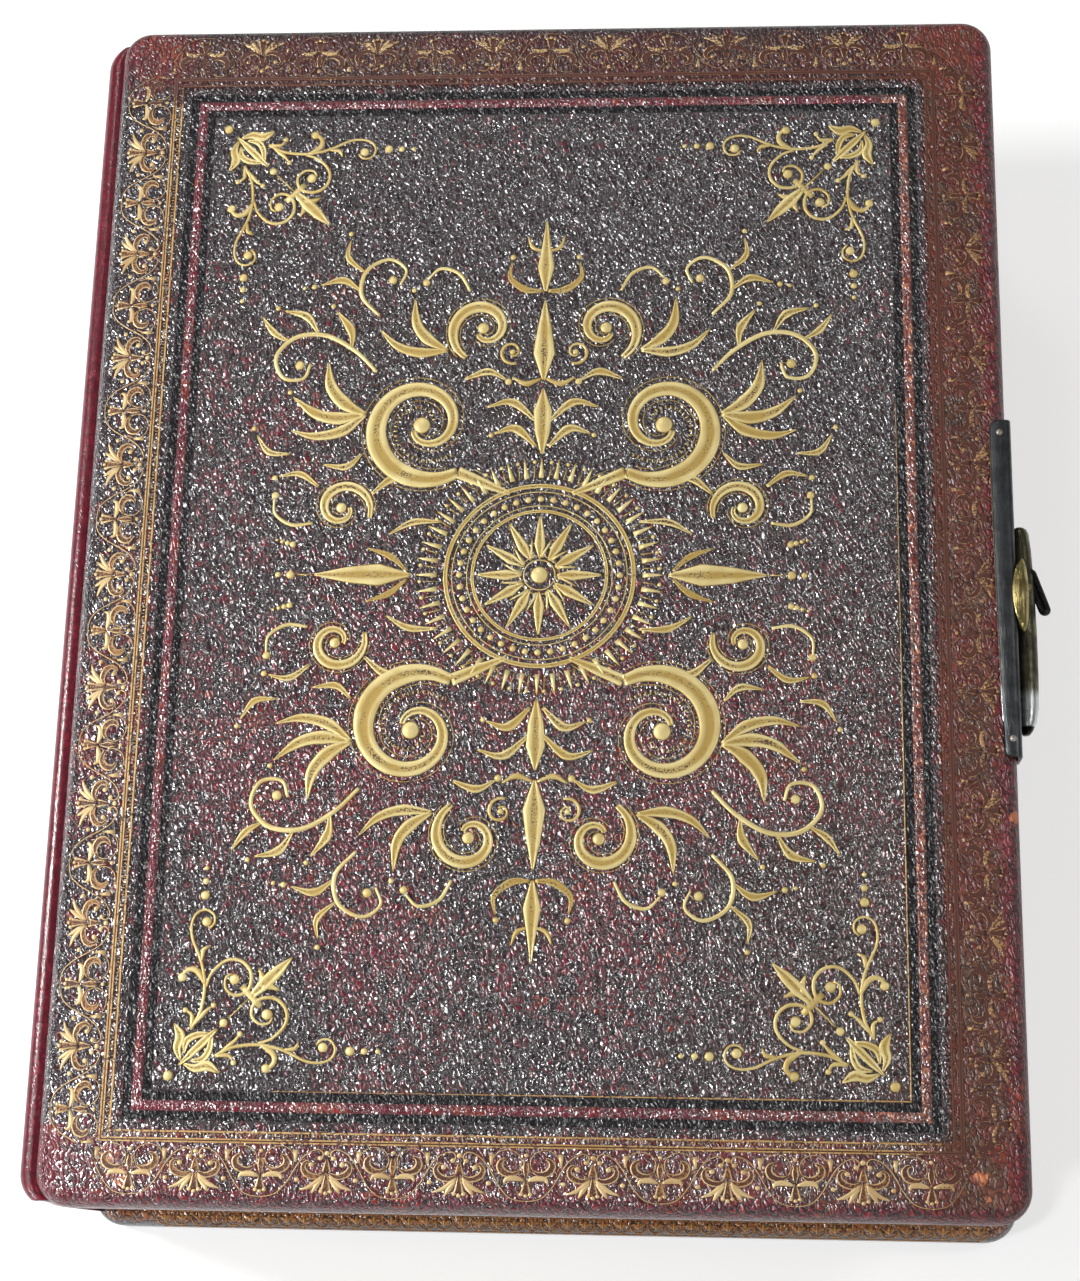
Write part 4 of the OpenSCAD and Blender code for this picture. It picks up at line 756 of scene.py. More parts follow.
def wire(path: list, radius: float, closed: bool = False, sides: int = 10) -> tuple:
    """Round wire along a path of places.

    Args:
        path: places along its middle.
        radius: its radius.
        closed: whether it is a loop, and not capped.
        sides: points round it.
    Returns:
        Its points and faces.
    """
    line = np.array(path, float)
    before, after = np.roll(line, 1, axis=0), np.roll(line, -1, axis=0)
    if not closed:
        before[0], after[-1] = line[0], line[-1]
    ahead = after - before
    ahead /= np.linalg.norm(ahead, axis=1)[:, None]
    aside = np.cross(ahead, (0, 0, 1))
    aside /= np.linalg.norm(aside, axis=1)[:, None]
    over = np.cross(aside, ahead)
    angles = np.arange(sides) * 2 * math.pi / sides
    rings = [spot + radius * (np.outer(np.cos(angles), s) + np.outer(np.sin(angles), o))
             for spot, s, o in zip(line, aside, over)]
    if closed:
        rings.append(rings[0])
    points, faces = skin(rings)
    if closed:
        last = (len(rings) - 1) * sides
        faces = [tuple(i - last if i >= last else i for i in face) for face in faces[:-2]]
        points = points[:last]
    return points, faces


def face_out(piece: Object) -> None:
    """Turns a closed mesh's faces outward."""
    work = bmesh.new()
    work.from_mesh(piece.data)
    bmesh.ops.recalc_face_normals(work, faces=work.faces)
    work.to_mesh(piece.data)
    work.free()


def seat(piece: Object, body: str, slot: str, *nodes: str) -> None:
    """Lets a piece ride on a body, and hides the CAD nodes that it stands for."""
    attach(piece, body)
    if nodes:
        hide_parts(*nodes)
    LOG.info("%s: %d faces on %s", piece.name, len(piece.data.polygons), body)


def catmull(path: list, spacing: float) -> np.ndarray:
    """Smooth line through points.

    Args:
        path: points of the line.
        spacing: distance between the new points, about.
    Returns:
        The new points.
    """
    line = np.array(path, float)
    if len(line) < 3:
        count = max(1, math.ceil(np.linalg.norm(line[-1] - line[0]) / (2.5 * spacing)))
        share = np.linspace(0, 1, count + 1)[:, None]
        return line[0] * (1 - share) + line[-1] * share
    ghost = np.vstack([2 * line[0] - line[1], line, 2 * line[-1] - line[-2]])
    made = []
    for i in range(1, len(ghost) - 2):
        before, start, stop, after = ghost[i - 1:i + 3]
        count = max(2, math.ceil(np.linalg.norm(stop - start) / spacing))
        for t in np.arange(count) / count:
            made.append(0.5 * (2 * start + (stop - before) * t
                               + (2 * before - 5 * start + 4 * stop - after) * t * t
                               + (3 * start - before - 3 * stop + after) * t ** 3))
    made.append(line[-1])
    return np.array(made)


def volute(centre: tuple, start_r: float, end_r: float, start_deg: float, end_deg: float, count: int) -> list:
    """Points of a spiral about a centre."""
    share = np.linspace(0, 1, count + 1)
    radius = start_r + (end_r - start_r) * share
    angle = np.radians(start_deg + (end_deg - start_deg) * share)
    return np.column_stack([centre[0] + radius * np.cos(angle), centre[1] + radius * np.sin(angle)]).tolist()


class Section(Enum):
    """Cross-sections of a tooled line, as shares of its half width and its height."""

    ROUND = ((-1.0, -0.5), (-0.8, 0.86), (0.0, 1.0), (0.8, 0.86), (1.0, -0.5))
    FINE = ((-1.0, -0.5), (0.0, 1.0), (1.0, -0.5))
    FLAT = ((-1.0, -0.5), (-0.8, 1.0), (-0.45, 0.62), (0.0, 0.3), (0.45, 0.62), (0.8, 1.0), (1.0, -0.5))


class Relief:
    """Low closed ridges that stand for tooled gold; x and y lie flat and z is the height."""

    def __init__(self, spacing: float = 0.8) -> None:
        """Starts an empty relief."""
        self.spacing = spacing
        self.points: list = []
        self.faces: list = []

    def stroke(self, path: list, widths: list, height: float = 0.11, section: Section | None = None) -> None:
        """Draws a line with a width that changes along it.

        Args:
            path: points of its middle.
            widths: widths at even steps along it.
            height: how far its middle stands up.
            section: its cross-section, chosen by its width where none is given.
        """
        line = catmull(path, self.spacing)
        ahead = np.gradient(line, axis=0)
        ahead /= np.maximum(np.linalg.norm(ahead, axis=1), 1e-9)[:, None]
        aside = np.column_stack([-ahead[:, 1], ahead[:, 0]])
        steps = np.linalg.norm(np.diff(line, axis=0), axis=1)
        travel = np.concatenate([[0], np.cumsum(steps)]) / max(steps.sum(), 1e-9)
        half = np.interp(travel, np.linspace(0, 1, len(widths)), widths) / 2
        widest = max(widths)
        usual = Section.FINE if widest < 0.85 else Section.ROUND if widest < 1.9 else Section.FLAT
        shape = (section or usual).value
        first = len(self.points)
        n = len(shape)
        for centre, side, reach in zip(line, aside, half):
            rise = height * min(1.0, reach / 0.25)
            for across, up in shape:
                spot = centre - side * across * reach
                self.points.append((spot[0], spot[1], up * rise))
        for i in range(len(line) - 1):
            for j in range(n):
                k = (j + 1) % n
                a, b = first + i * n, first + (i + 1) * n
                self.faces.append((a + j, b + j, b + k, a + k))
        last = first + (len(line) - 1) * n
        self.faces.append(tuple(first + j for j in range(n)))
        self.faces.append(tuple(last + j for j in reversed(range(n))))

    def dot(self, centre: tuple, radius: float, height: float = 0.14, sides: int = 10) -> None:
        """Draws a low dome."""
        first = len(self.points)
        angles = np.arange(sides) * 2 * math.pi / sides
        for share, up in ((1.0, -0.4), (0.72, 0.75)):
            for angle in angles:
                self.points.append((centre[0] + radius * share * math.cos(angle),
                                    centre[1] + radius * share * math.sin(angle), height * up))
        self.points.append((centre[0], centre[1], height))
        for j in range(sides):
            k = (j + 1) % sides
            self.faces.append((first + j, first + k, first + sides + k, first + sides + j))
            self.faces.append((first + sides + j, first + sides + k, first + 2 * sides))
        self.faces.append(tuple(first + j for j in reversed(range(sides))))

    def outlined(self, path: list, widths: list, gap: float = 0.75, fine: float = 0.34) -> None:
        """Draws a grooved line with a fine line along each side of it.

        Args:
            path: points of its middle.
            widths: widths at even steps along it.
            gap: distance from its edge to each fine line.
            fine: width of the fine lines.
        """
        self.stroke(path, widths, 0.2, Section.FLAT)
        line = catmull(path, 2.0)
        ahead = np.gradient(line, axis=0)
        ahead /= np.linalg.norm(ahead, axis=1)[:, None]
        aside = np.column_stack([-ahead[:, 1], ahead[:, 0]])
        half = np.interp(np.linspace(0, 1, len(line)), np.linspace(0, 1, len(widths)), widths) / 2
        cut = slice(1, -2)
        for side in (-1, 1):
            beside = line + side * aside * (half + gap)[:, None]
            self.stroke(beside[cut].tolist(), [fine, fine])

    def both(self, path: list, widths: list, height: float = 0.11) -> None:
        """Draws a line and its mirror image in x."""
        self.stroke(path, widths, height)
        self.stroke([(-x, y) for x, y in path], widths, height)

    def both_dots(self, centre: tuple, radius: float) -> None:
        """Draws a dome and its mirror image in x."""
        self.dot(centre, radius)
        self.dot((-centre[0], centre[1]), radius)

    def array(self) -> np.ndarray:
        """The points as rows."""
        return np.array(self.points, float).reshape(-1, 3)

    def add(self, points: np.ndarray, faces: list, flip: bool = False) -> None:
        """Takes in another relief's points and faces.

        Args:
            points: rows of points.
            faces: their faces.
            flip: whether the points were mirrored, so that faces turn round.
        """
        first = len(self.points)
        self.points.extend(map(tuple, points))
        for face in faces:
            order = reversed(face) if flip else face
            self.faces.append(tuple(first + i for i in order))

    def piece(self, name: str, shape: "CoverShape", finish: Material, crest: float) -> Object:
        """Lays the relief on the cover, and writes at each point how near it is to the ridge top, which
        lift-shaded gold turns into painted highlight and shade.

        Args:
            name: the piece's name.
            shape: the cover that it lies on.
            finish: its gold.
            crest: height that counts as a full crest.
        Returns:
            The new piece.
        """
        rows = self.array()
        made = link_mesh(name, shape.wrap(rows), self.faces, finish)
        layer = made.data.attributes.new("lift", "FLOAT", "POINT")
        layer.data.foreach_set("value", np.clip(rows[:, 2] / crest, 0, 1).astype(np.float32))
        return made

    def placed(self, other: "Relief", matrix: tuple, shift: tuple) -> None:
        """Adds a copy of another relief.

        Args:
            other: the relief that is copied.
            matrix: two rows that turn or mirror it in the flat.
            shift: how far it moves, along x and y.
        """
        turn = np.array(matrix, float)
        points = other.array()
        points[:, :2] = points[:, :2] @ turn.T + np.array(shift)
        self.add(points, other.faces, flip=np.linalg.det(turn) < 0)


class PathRepeat:
    """A Geometry Nodes tree that sets a motif along a path at even steps."""

    def __init__(self) -> None:
        """Builds the tree."""
        tree = bpy.data.node_groups.new("motif_along_path", "GeometryNodeTree")
        self.sockets = {}
        for name, kind in (("Path", "NodeSocketGeometry"), ("Motif", "NodeSocketObject"),
                           ("Count", "NodeSocketInt"), ("Finish", "NodeSocketMaterial"),
                           ("Uneven", FLOAT), ("Seed", "NodeSocketInt")):
            socket = tree.interface.new_socket(name=name, in_out="INPUT", socket_type=kind)
            self.sockets[name] = socket.identifier
        tree.interface.new_socket(name="Geometry", in_out="OUTPUT", socket_type="NodeSocketGeometry")
        graph = Graph(tree)
        given = tree.nodes.new("NodeGroupInput").outputs
        curve = graph.add("GeometryNodeMeshToCurve", {"Mesh": given["Path"]}).outputs[0]
        even = graph.add("GeometryNodeResampleCurve", {"Curve": curve, "Count": given["Count"]},
                         mode="COUNT").outputs[0]
        motif = graph.add("GeometryNodeObjectInfo", {"Object": given["Motif"]}, transform_space="ORIGINAL")
        tangent = graph.add("GeometryNodeInputTangent").outputs[0]
        turn = graph.add("FunctionNodeAlignRotationToVector", {"Vector": tangent}, axis="X",
                         pivot_axis="Z").outputs[0]
        low = graph.less(1.0, given["Uneven"])
        high = graph.math("ADD", 1.0, given["Uneven"])
        size = graph.add("FunctionNodeRandomValue", {2: low, 3: high, "Seed": given["Seed"]},
                         data_type="FLOAT").outputs[1]
        spread = graph.add("GeometryNodeInstanceOnPoints", {
            "Points": even, "Instance": motif.outputs["Geometry"], "Rotation": turn,
            "Scale": size}).outputs[0]
        solid = graph.add("GeometryNodeRealizeInstances", {0: spread}).outputs[0]
        dressed = graph.add("GeometryNodeSetMaterial", {0: solid, "Material": given["Finish"]}).outputs[0]
        graph.add("NodeGroupOutput", {0: dressed})
        self.tree = tree

    def run(self, path: np.ndarray, closed: bool, motif: Relief, count: int, finish: Material,
            uneven: float = 0.0, seed: int = 1) -> tuple:
        """Repeats a motif and bakes the result.

        Args:
            path: points of the path, two or three values each.
            closed: whether the path is a loop.
            motif: what is repeated, along x.
            count: how many times.
            finish: the material of the result.
            uneven: how much the sizes differ.
            seed: seed of that difference.
        Returns:
            The points and the faces of the result, in millimetres.
        """
        flat = np.zeros((len(path), 3))
        flat[:, :np.asarray(path).shape[1]] = path
        edges = [(i, i + 1) for i in range(len(flat) - 1)]
        if closed:
            edges.append((len(flat) - 1, 0))
        mesh = bpy.data.meshes.new("path")
        mesh.from_pydata(flat.tolist(), edges, [])
        carrier = bpy.data.objects.new("path", mesh)
        pattern = link_mesh("motif", motif.array() / MM, motif.faces, finish)
        bpy.context.scene.collection.objects.link(carrier)
        modifier = carrier.modifiers.new("repeat", "NODES")
        modifier.node_group = self.tree
        for name, value in (("Motif", pattern), ("Count", count), ("Finish", finish), ("Uneven", uneven),
                            ("Seed", seed)):
            modifier[self.sockets[name]] = value
        graph = bpy.context.evaluated_depsgraph_get()
        baked = bpy.data.meshes.new_from_object(carrier.evaluated_get(graph))
        points = np.zeros(len(baked.vertices) * 3)
        baked.vertices.foreach_get("co", points)
        faces = [tuple(face.vertices) for face in baked.polygons]
        carrier.modifiers.remove(modifier)
        for item in (carrier, pattern):
            bpy.data.objects.remove(item)
        bpy.data.meshes.remove(baked)
        return points.reshape(-1, 3), faces


# Sub-assemblies


@dataclass
class CoverShape:
    """Form of the front cover, from the CAD cover's box, with its rounded edge and sunk bands."""

    round_x: float = 3.0
    round_z: float = 5.0
    corner: float = 8.0
    foot: float = 1.0
    turn_in: float = 14.0
    groove: float = 0.4
    low: np.ndarray = field(default_factory=lambda: box_mm("front_leather")[0])
    high: np.ndarray = field(default_factory=lambda: box_mm("front_leather")[1])
    band_high: np.ndarray = field(default_factory=lambda: box_mm("black_bands")[1])
    band_width: float = 2.1
    band_step: float = 4.5

    def band_walls(self, axis: int) -> list:
        """Distances of the bands' walls from the middle, from the outermost in."""
        outer = self.band_high[axis]
        return [outer, outer - self.band_width, outer - self.band_step,
                outer - self.band_step - self.band_width]

    def in_bands(self, x: np.ndarray, y: np.ndarray) -> np.ndarray:
        """Whether places lie in a sunk band."""
        wide, tall = self.band_walls(0), self.band_walls(1)
        inside = np.zeros(np.shape(x), bool)
        for k in (0, 2):
            outer = (np.abs(x) < wide[k]) & (np.abs(y) < tall[k])
            inner = (np.abs(x) < wide[k + 1]) & (np.abs(y) < tall[k + 1])
            inside |= outer & ~inner
        return inside

    def wrap(self, points: np.ndarray) -> np.ndarray:
        """Lays flat points on the cover, over its rounded edge too.

        Args:
            points: rows of x, y and the height above the leather.
        Returns:
            Rows of places on the cover.
        """
        flat_low = self.low[:2] + self.round_x
        flat_high = self.high[:2] - self.round_x
        radius = self.corner - self.round_x
        nearest = np.clip(points[:, :2], flat_low + radius, flat_high - radius)
        away = points[:, :2] - nearest
        length = np.maximum(np.linalg.norm(away, axis=1), 1e-9)
        outward = away / length[:, None]
        over = np.maximum(length - radius, 0)
        angles = np.radians(np.linspace(0, 90, 91))
        run, drop = self.round_x * np.sin(angles), self.round_z * (1 - np.cos(angles))
        arc = np.concatenate([[0], np.cumsum(np.hypot(np.diff(run), np.diff(drop)))])
        angle = np.interp(over, arc, angles)
        slope = np.column_stack([self.round_z * np.sin(angle), self.round_x * np.cos(angle)])
        slope /= np.linalg.norm(slope, axis=1)[:, None]
        reach = np.minimum(length, radius) + self.round_x * np.sin(angle)
        reach = reach + points[:, 2] * slope[:, 0] * (over > 0)
        lift = np.where(over > 0, slope[:, 1], 1.0)
        z = self.high[2] - self.round_z * (1 - np.cos(angle)) - np.maximum(over - arc[-1], 0)
        z = z + points[:, 2] * lift
        return np.column_stack([nearest + outward * reach[:, None], z])


@dataclass
class FrontCover:
    """Padded front cover with its tooling."""

    shape: CoverShape
    shop: Workshop
    repeat: PathRepeat
    mesh_step: float = 1.1
    frame_half: tuple = FRAME_HALF
    roll_height: float = 0.88
    dash_inset: float = 1.85
    dash_pitch: float = 0.85
    inner_inset: float = 0.3
    wall_clear: float = 0.45
    wall_gap: float = 0.09
    mitre_over: float = 0.6
    roll_off: float = 0.1
    across_hearts: tuple = (7, HEART_PITCH)
    along_hearts: tuple = (10, 29.3)
    spray_corner: tuple = (85.0, 123.8)
    rub_spots: tuple = ((-98, -143, 3.2, 0.42), (-94, -148, 2.5, 0.34), (-88, -150, 2, 0.25),
                        (104, -144, 1.9, 0.4),
                        (106, -149, 1.5, 0.3), (115, -60, 1.5, 0.85), (106, 76, 1.6, 0.45),
                        (-101, 138, 2, 0.34),
                        (-30, -141, 12, 0.12), (60, -139, 14, 0.12))
    flush_spots: tuple = ((-107, 147, 7, 1.4), (-80, -40, 40, 0.5), (60, -30, 34, 0.35), (110, -152, 6, 1.2),
                          (-70, 60, 26, 0.25), (0, -70, 55, 0.3))

    def build(self) -> None:
        """Builds the leather and the gilding, and dresses the CAD nodes that stay."""
        self.leather()
        self.scroll_roll()
        self.sprays()
        CentreOrnament(self.shape, self.shop, self.repeat).build()
        self.shop.dress(Stuff.BAND, "black_bands")
        self.shop.dress(Stuff.GOLD_LINE, "gilt_lines")
        self.line_dashes()
        self.shop.dress(Stuff.BOARD, "front_board")
        self.shop.dress(Stuff.LINING, "front_lining")

    def _lines(self, low: float, high: float, walls: list) -> np.ndarray:
        """Grid lines across the flat of the cover, drawn close on both sides of each band wall."""
        count = round((high - low) / self.mesh_step)
        lines = np.linspace(low, high, count + 1)
        edges = [sign * wall for wall in walls for sign in (-1, 1)]
        kept = [v for v in lines if v in (low, high) or min(abs(v - e) for e in edges) > self.wall_clear]
        pairs = [e + side * self.wall_gap for e in edges for side in (-1, 1)]
        return np.array(sorted(kept + pairs))

    def leather(self) -> None:
        """The leather skin: a fine grid inside, and loops over the edge to the turn-in below."""
        form = self.shape
        inner_low, inner_high = form.low[:2] + form.corner, form.high[:2] - form.corner
        xs = self._lines(inner_low[0], inner_high[0], form.band_walls(0))
        ys = self._lines(inner_low[1], inner_high[1], form.band_walls(1))
        nx, ny = len(xs), len(ys)
        gx, gy = np.meshgrid(xs, ys, indexing="ij")
        gz = np.where(form.in_bands(gx, gy), form.high[2] - form.groove, form.high[2])
        points = [np.column_stack([gx.ravel(), gy.ravel(), gz.ravel()])]
        faces = [(i * ny + j, (i + 1) * ny + j, (i + 1) * ny + j + 1, i * ny + j + 1)
                 for i in range(nx - 1) for j in range(ny - 1)]
        fan = 10
        rim: list = []
        sides = (
            ([(nx - 1) * ny + j for j in range(ny)], (1, 0), 0),
            ([i * ny + ny - 1 for i in reversed(range(nx))], (0, 1), 90),
            ([j for j in reversed(range(ny))], (-1, 0), 180),
            ([i * ny for i in range(nx)], (0, -1), 270),
        )
        for numbers, normal, angle in sides:
            rim += [(number, normal) for number in numbers]
            for step in range(1, fan):
                turn = math.radians(angle + 90 * step / fan)
                rim.append((numbers[-1], (math.cos(turn), math.sin(turn))))
        base = points[0][[number for number, _ in rim]][:, :2]
        normals = np.array([normal for _, normal in rim])
        top, bottom = form.high[2], form.low[2]
        flat_end = form.corner - form.round_x
        profile = [(flat_end * k / 5, top) for k in range(1, 6)]
        profile += [(flat_end + form.round_x * math.sin(a), top - form.round_z * (1 - math.cos(a)))
                    for a in np.radians(np.arange(9, 91, 9))]
        profile += [(form.corner, bottom + form.foot + (top - form.round_z - bottom - form.foot) * s)
                    for s in (0.5, 0.0)]
        profile += [(form.corner - form.foot * (1 - math.sin(a)), bottom + form.foot * (1 - math.cos(a)))
                    for a in np.radians((60, 30, 0))]
        profile[-1] = (form.corner - form.foot, bottom)
        profile += [(d, bottom) for d in (5.0, 2.5, 0.0, -3.0, form.corner - form.turn_in)]
        profile.append((form.corner - form.turn_in, bottom + 0.7))
        clamp_low, clamp_high = form.low[:2] + form.turn_in, form.high[:2] - form.turn_in
        count = len(rim)
        previous = [number for number, _ in rim]
        total = nx * ny
        for reach, z in profile:
            ring = base + normals * max(reach, 0)
            if reach < 0:
                inset = -reach
                ring = np.clip(ring, form.low[:2] + form.corner + inset, form.high[:2] - form.corner - inset)
            if reach == form.corner - form.turn_in:
                ring = np.clip(ring, clamp_low, clamp_high)
            points.append(np.column_stack([ring, np.full(count, z)]))
            current = list(range(total, total + count))
            total += count
            for k in range(count):
                m = (k + 1) % count
                face = [previous[k], current[k], current[m], previous[m]]
                if face[0] == face[3]:
                    face = face[:3]
                faces.append(tuple(face))
            previous = current
        faces.append(tuple(previous))
        cover = link_mesh("front_cover_leather", np.vstack(points), faces, self.shop[Stuff.COVER])
        tidy = bmesh.new()
        tidy.from_mesh(cover.data)
        bmesh.ops.remove_doubles(tidy, verts=tidy.verts, dist=1e-7)
        bmesh.ops.dissolve_degenerate(tidy, edges=tidy.edges, dist=1e-8)
        bmesh.ops.recalc_face_normals(tidy, faces=tidy.faces)
        tidy.to_mesh(cover.data)
        tidy.free()
        self._mark(cover)
        seat(cover, "front_cover", "cover_leather", "front_leather")

    def _mark(self, cover: Object) -> None:
        """Writes where the leather is rubbed, flushed red, smooth or dull, at each point."""
        mesh = cover.data
        co = np.zeros(len(mesh.vertices) * 3)
        mesh.vertices.foreach_get("co", co)
        x, y, z = (co.reshape(-1, 3) / MM).T
        noise = SmoothNoise(11)
        blot = noise(x, y, 30.0, 4)
        wide, tall = self.shape.band_walls(0), self.shape.band_walls(1)
        square = np.maximum(np.abs(x) - wide[0], np.abs(y) - tall[0])
        beyond = np.maximum(np.abs(x) - self.frame_half[0], np.abs(y) - self.frame_half[1])
        border = smoothstep(square, 0.0, 3.0)
        fore = smoothstep(x, 90, 99) * border
        head = smoothstep(y, 131, 139) * border
        tail = smoothstep(-y, 131, 141) * border
        edge = smoothstep(self.shape.high[2] - z, 0.3, 3.0)
        rub = 0.26 * blot + 0.06 * tail + 0.05 * smoothstep(x, 60, 90) - 0.1 * edge
        outside = np.maximum(np.maximum(x - self.shape.high[0], -x - 116) + 7,
                             np.abs(y) - self.shape.high[1] + 5)
        rim = smoothstep(outside, 0.0, 3.0)
        flush = 0.3 * blot + 0.9 * edge * smoothstep(-x, 100, 110) + 1.2 * rim * tail + 0.4 * tail
        flush += 0.8 * rim * fore + 0.2 * fore
        for cx, cy, size, gain in self.rub_spots:
            rub += gain * np.exp(-((x - cx) ** 2 + (y - cy) ** 2) / (2 * size ** 2))
        for cx, cy, size, gain in self.flush_spots:
            flush += gain * np.exp(-((x - cx) ** 2 + (y - cy) ** 2) / (2 * size ** 2)) * (0.4 + blot)
        panel = smoothstep(-square, 6.0, 9.0)
        warm = (0.85 * fore + (0.15 + 0.5 * smoothstep(x, -40, 90)) * tail + 0.45 * head) * (1 - 0.8 * rim)
        warm += 0.3 * panel * smoothstep(x, 10, 90) * smoothstep(-y, -60, 60)
        dull = 0.92 * np.maximum(fore, 0.8 * head) + 0.6 * rim * tail + 0.25 * tail * smoothstep(x, -40, 90)
        tall_share = smoothstep(-y, tall[0] - 10, tall[0] - 8)
        between = (square < 0) & (square > -(self.shape.band_step + self.shape.band_width))
        strip_wear = np.clip(smoothstep(x, 20, 90) * tall_share + smoothstep(x, 84, 86), 0, 1)
        flush = np.where(between, 0.95, flush)
        warm = np.where(between, 0.75 * strip_wear, warm)
        roll = smoothstep(beyond, -3.4, -2.4) * (1 - smoothstep(beyond, 11.2, 12.6))
        rub = np.where(between, 0.5 * strip_wear, rub)
        tail_corner = np.exp(-((x + 104) ** 2 + (y + 138) ** 2) / (2 * 13.0 ** 2))
        smooth = np.where(between, 0.4, 0.0) + 0.25 * roll + 0.15 * fore + 0.15 * head + 0.6 * tail_corner
        smooth = np.clip(smooth, 0, 1)
        for name, values in (("rub", rub), ("flush", flush), ("smooth", smooth), ("warm", warm),
                             ("dull", dull)):
            layer = mesh.attributes.new(name, "FLOAT", "POINT")
            layer.data.foreach_set("value", np.clip(values, 0, 1).astype(np.float32))

    def _heart_motif(self, stretch: float) -> Relief:
        """One repeat of the border: a heart of scrolls, with half a palmette at each end."""
        ink = Relief(0.95)
        half = HEART_PITCH / 2
        ink.both([(0, 13.5), (-2.25, 13.2), (-4.1, 12.3), (-6, 10), (-7.35, 7.5), (-8.7, 4.9), (-10.3, 2.7),
                  (-12.2, 1.4), (-13.7, 1.2), (-14.6, 2.3), (-14.2, 3.4)], [0.55, 0.65, 0.7, 0.65, 0.8])
        ink.both_dots((-13.9, 3.4), 0.75)
        ink.both(volute((-4.3, 3.8), 3.6, 3.3, 145, 395, 9), [0.45, 0.5, 0.55])
        ink.both(volute((-4.1, 3.9), 3.2, 1.3, 35, 250, 7), [0.6, 1.7, 2.3, 1.9, 0.6])
        ink.dot((0, 1.7), 0.65)
        ink.stroke([(0, 7.5), (0, 5.0), (0, 3.2)], [0.5, 2.0, 1.0])
        ink.both([(-0.4, 8.2), (-2.6, 7.6), (-4.6, 7.9), (-5.0, 9.0)], [0.6, 1.7, 1.6, 0.5])
        ink.stroke([(0, 8.2), (0, 9.8), (0, 11.6)], [0.7, 2.0, 3.0])
        for u, v in ((-1.05, 11.7), (0.0, 12.1), (1.05, 11.7)):
            ink.dot((u, v), 0.6)
        ink.both_dots((-8.6, 9.0), 0.75)
        ink.both([(-8.1, 4.4), (-8.0, 1.4)], [0.5, 1.5])
        ink.dot((half, 2.1), 0.8)
        ink.stroke([(half, 6.9), (half, 5.4), (half, 3.6)], [2.6, 1.6, 0.5])
        ink.stroke([(half, 7.4), (half, 9.6), (half, 11.8)], [0.7, 1.7, 3.0])
        for u, v in ((-1.1, 11.9), (0.0, 12.4), (1.1, 11.9)):
            ink.dot((half + u, v), 0.62)
        for side in (-1, 1):
            def place(path: list, end: int = side) -> list:
                """Half palmette's points at one end."""
                return [(end * (half - u), v) for u, v in path]
            ink.stroke(place([(0.6, 7.3), (2.6, 8.2), (4.8, 7.3), (5.5, 5.6), (4.7, 4.3), (3.6, 4.9)]),
                       [0.6, 1.8, 2.0, 1.2, 0.7])
            ink.dot(place([(3.6, 5.1)])[0], 0.8)
            ink.stroke(place([(0.6, 7.9), (2.4, 9.6), (4.0, 10.8), (6.1, 11.6)]), [0.6, 1.4, 1.2, 0.4])
            ink.stroke(place([(0.7, 8.6), (1.9, 10.0), (3.3, 12.4)]), [0.5, 1.6, 0.5])
        for i, (u, v, z) in enumerate(ink.points):
            ink.points[i] = (u * stretch, v * self.roll_height, z)
        return ink

    def line_dashes(self) -> None:
        """Row of fine dashes between the two gilt lines, and a thin gold line inside the inner band on the
        lower right, partly worn gilding and partly a painted highlight along the panel's edge.
        """
        x, y = self.frame_half[0] - self.dash_inset, self.frame_half[1] - self.dash_inset
        dash = Relief()
        dash.stroke([(0, -0.3), (0, 0.3)], [0.34, 0.34], 0.12)
        whole = Relief()
        for start, stop in (((-x, y), (x, y)), ((x, y), (x, -y)), ((x, -y), (-x, -y)), ((-x, -y), (-x, y))):
            path = np.array([start, stop], float)
            count = round(np.linalg.norm(path[1] - path[0]) / self.dash_pitch)
            whole.add(*self.repeat.run(path, False, dash, count, self.shop[Stuff.GOLD_LINE], 0.25, 3))
        # Painted highlight: a thin gold line along the panel's right and lower edges only, where the raised
        # panel's edge catches the light.
        wide, tall = (self.shape.band_walls(axis)[-1] - self.inner_inset for axis in (0, 1))
        whole.stroke([(wide, 46), (wide, 0), (wide, -60), (wide, -tall)], [0.2, 0.4, 0.5], 0.1)
        whole.stroke([(wide, -tall), (40, -tall), (-8, -tall), (-60, -tall)], [0.5, 0.5, 0.3, 0.2], 0.1)
        seat(whole.piece("front_line_dashes", self.shape, self.shop[Stuff.GOLD_LINE], 0.1), "front_cover",
             "gold")

    def scroll_roll(self) -> None:
        """The gilt scroll border: hearts repeated along four sides and mitred at the corners."""
        whole = Relief()
        finish = self.shop[Stuff.GOLD_ROLL]
        half_w, half_h = self.frame_half
        runs = (
            (self.across_hearts, half_w, half_h, 0), (self.along_hearts, half_h, half_w, 90),
            (self.across_hearts, half_w, half_h, 180), (self.along_hearts, half_h, half_w, 270),
        )
        for (count, pitch), half_run, reach, angle in runs:
            motif = self._heart_motif(pitch / HEART_PITCH)
            end = pitch * (count - 1) / 2
            path = np.array([(-end, 0, 0), (end, 0, 0)])
            points, faces = self.repeat.run(path, False, motif, count, finish)
            work = bmesh.new()
            for spot in points:
                work.verts.new(spot)
            work.verts.ensure_lookup_table()
            for face in faces:
                work.faces.new([work.verts[i] for i in face])
            for side in (-1, 1):
                cut = Vector((side, 0, 0))
                everything = list(work.verts) + list(work.edges) + list(work.faces)
                made = bmesh.ops.bisect_plane(work, geom=everything,
                                              plane_co=cut * (half_run + self.mitre_over),
                                              plane_no=cut, clear_outer=True)
                rim = [item for item in made["geom_cut"] if isinstance(item, bmesh.types.BMEdge)]
                bmesh.ops.holes_fill(work, edges=rim)
            work.verts.index_update()
            kept = np.array([tuple(v.co) for v in work.verts])
            order = [tuple(v.index for v in f.verts) for f in work.faces]
            work.free()
            kept[:, 1] += reach + self.roll_off
            turn = math.radians(angle)
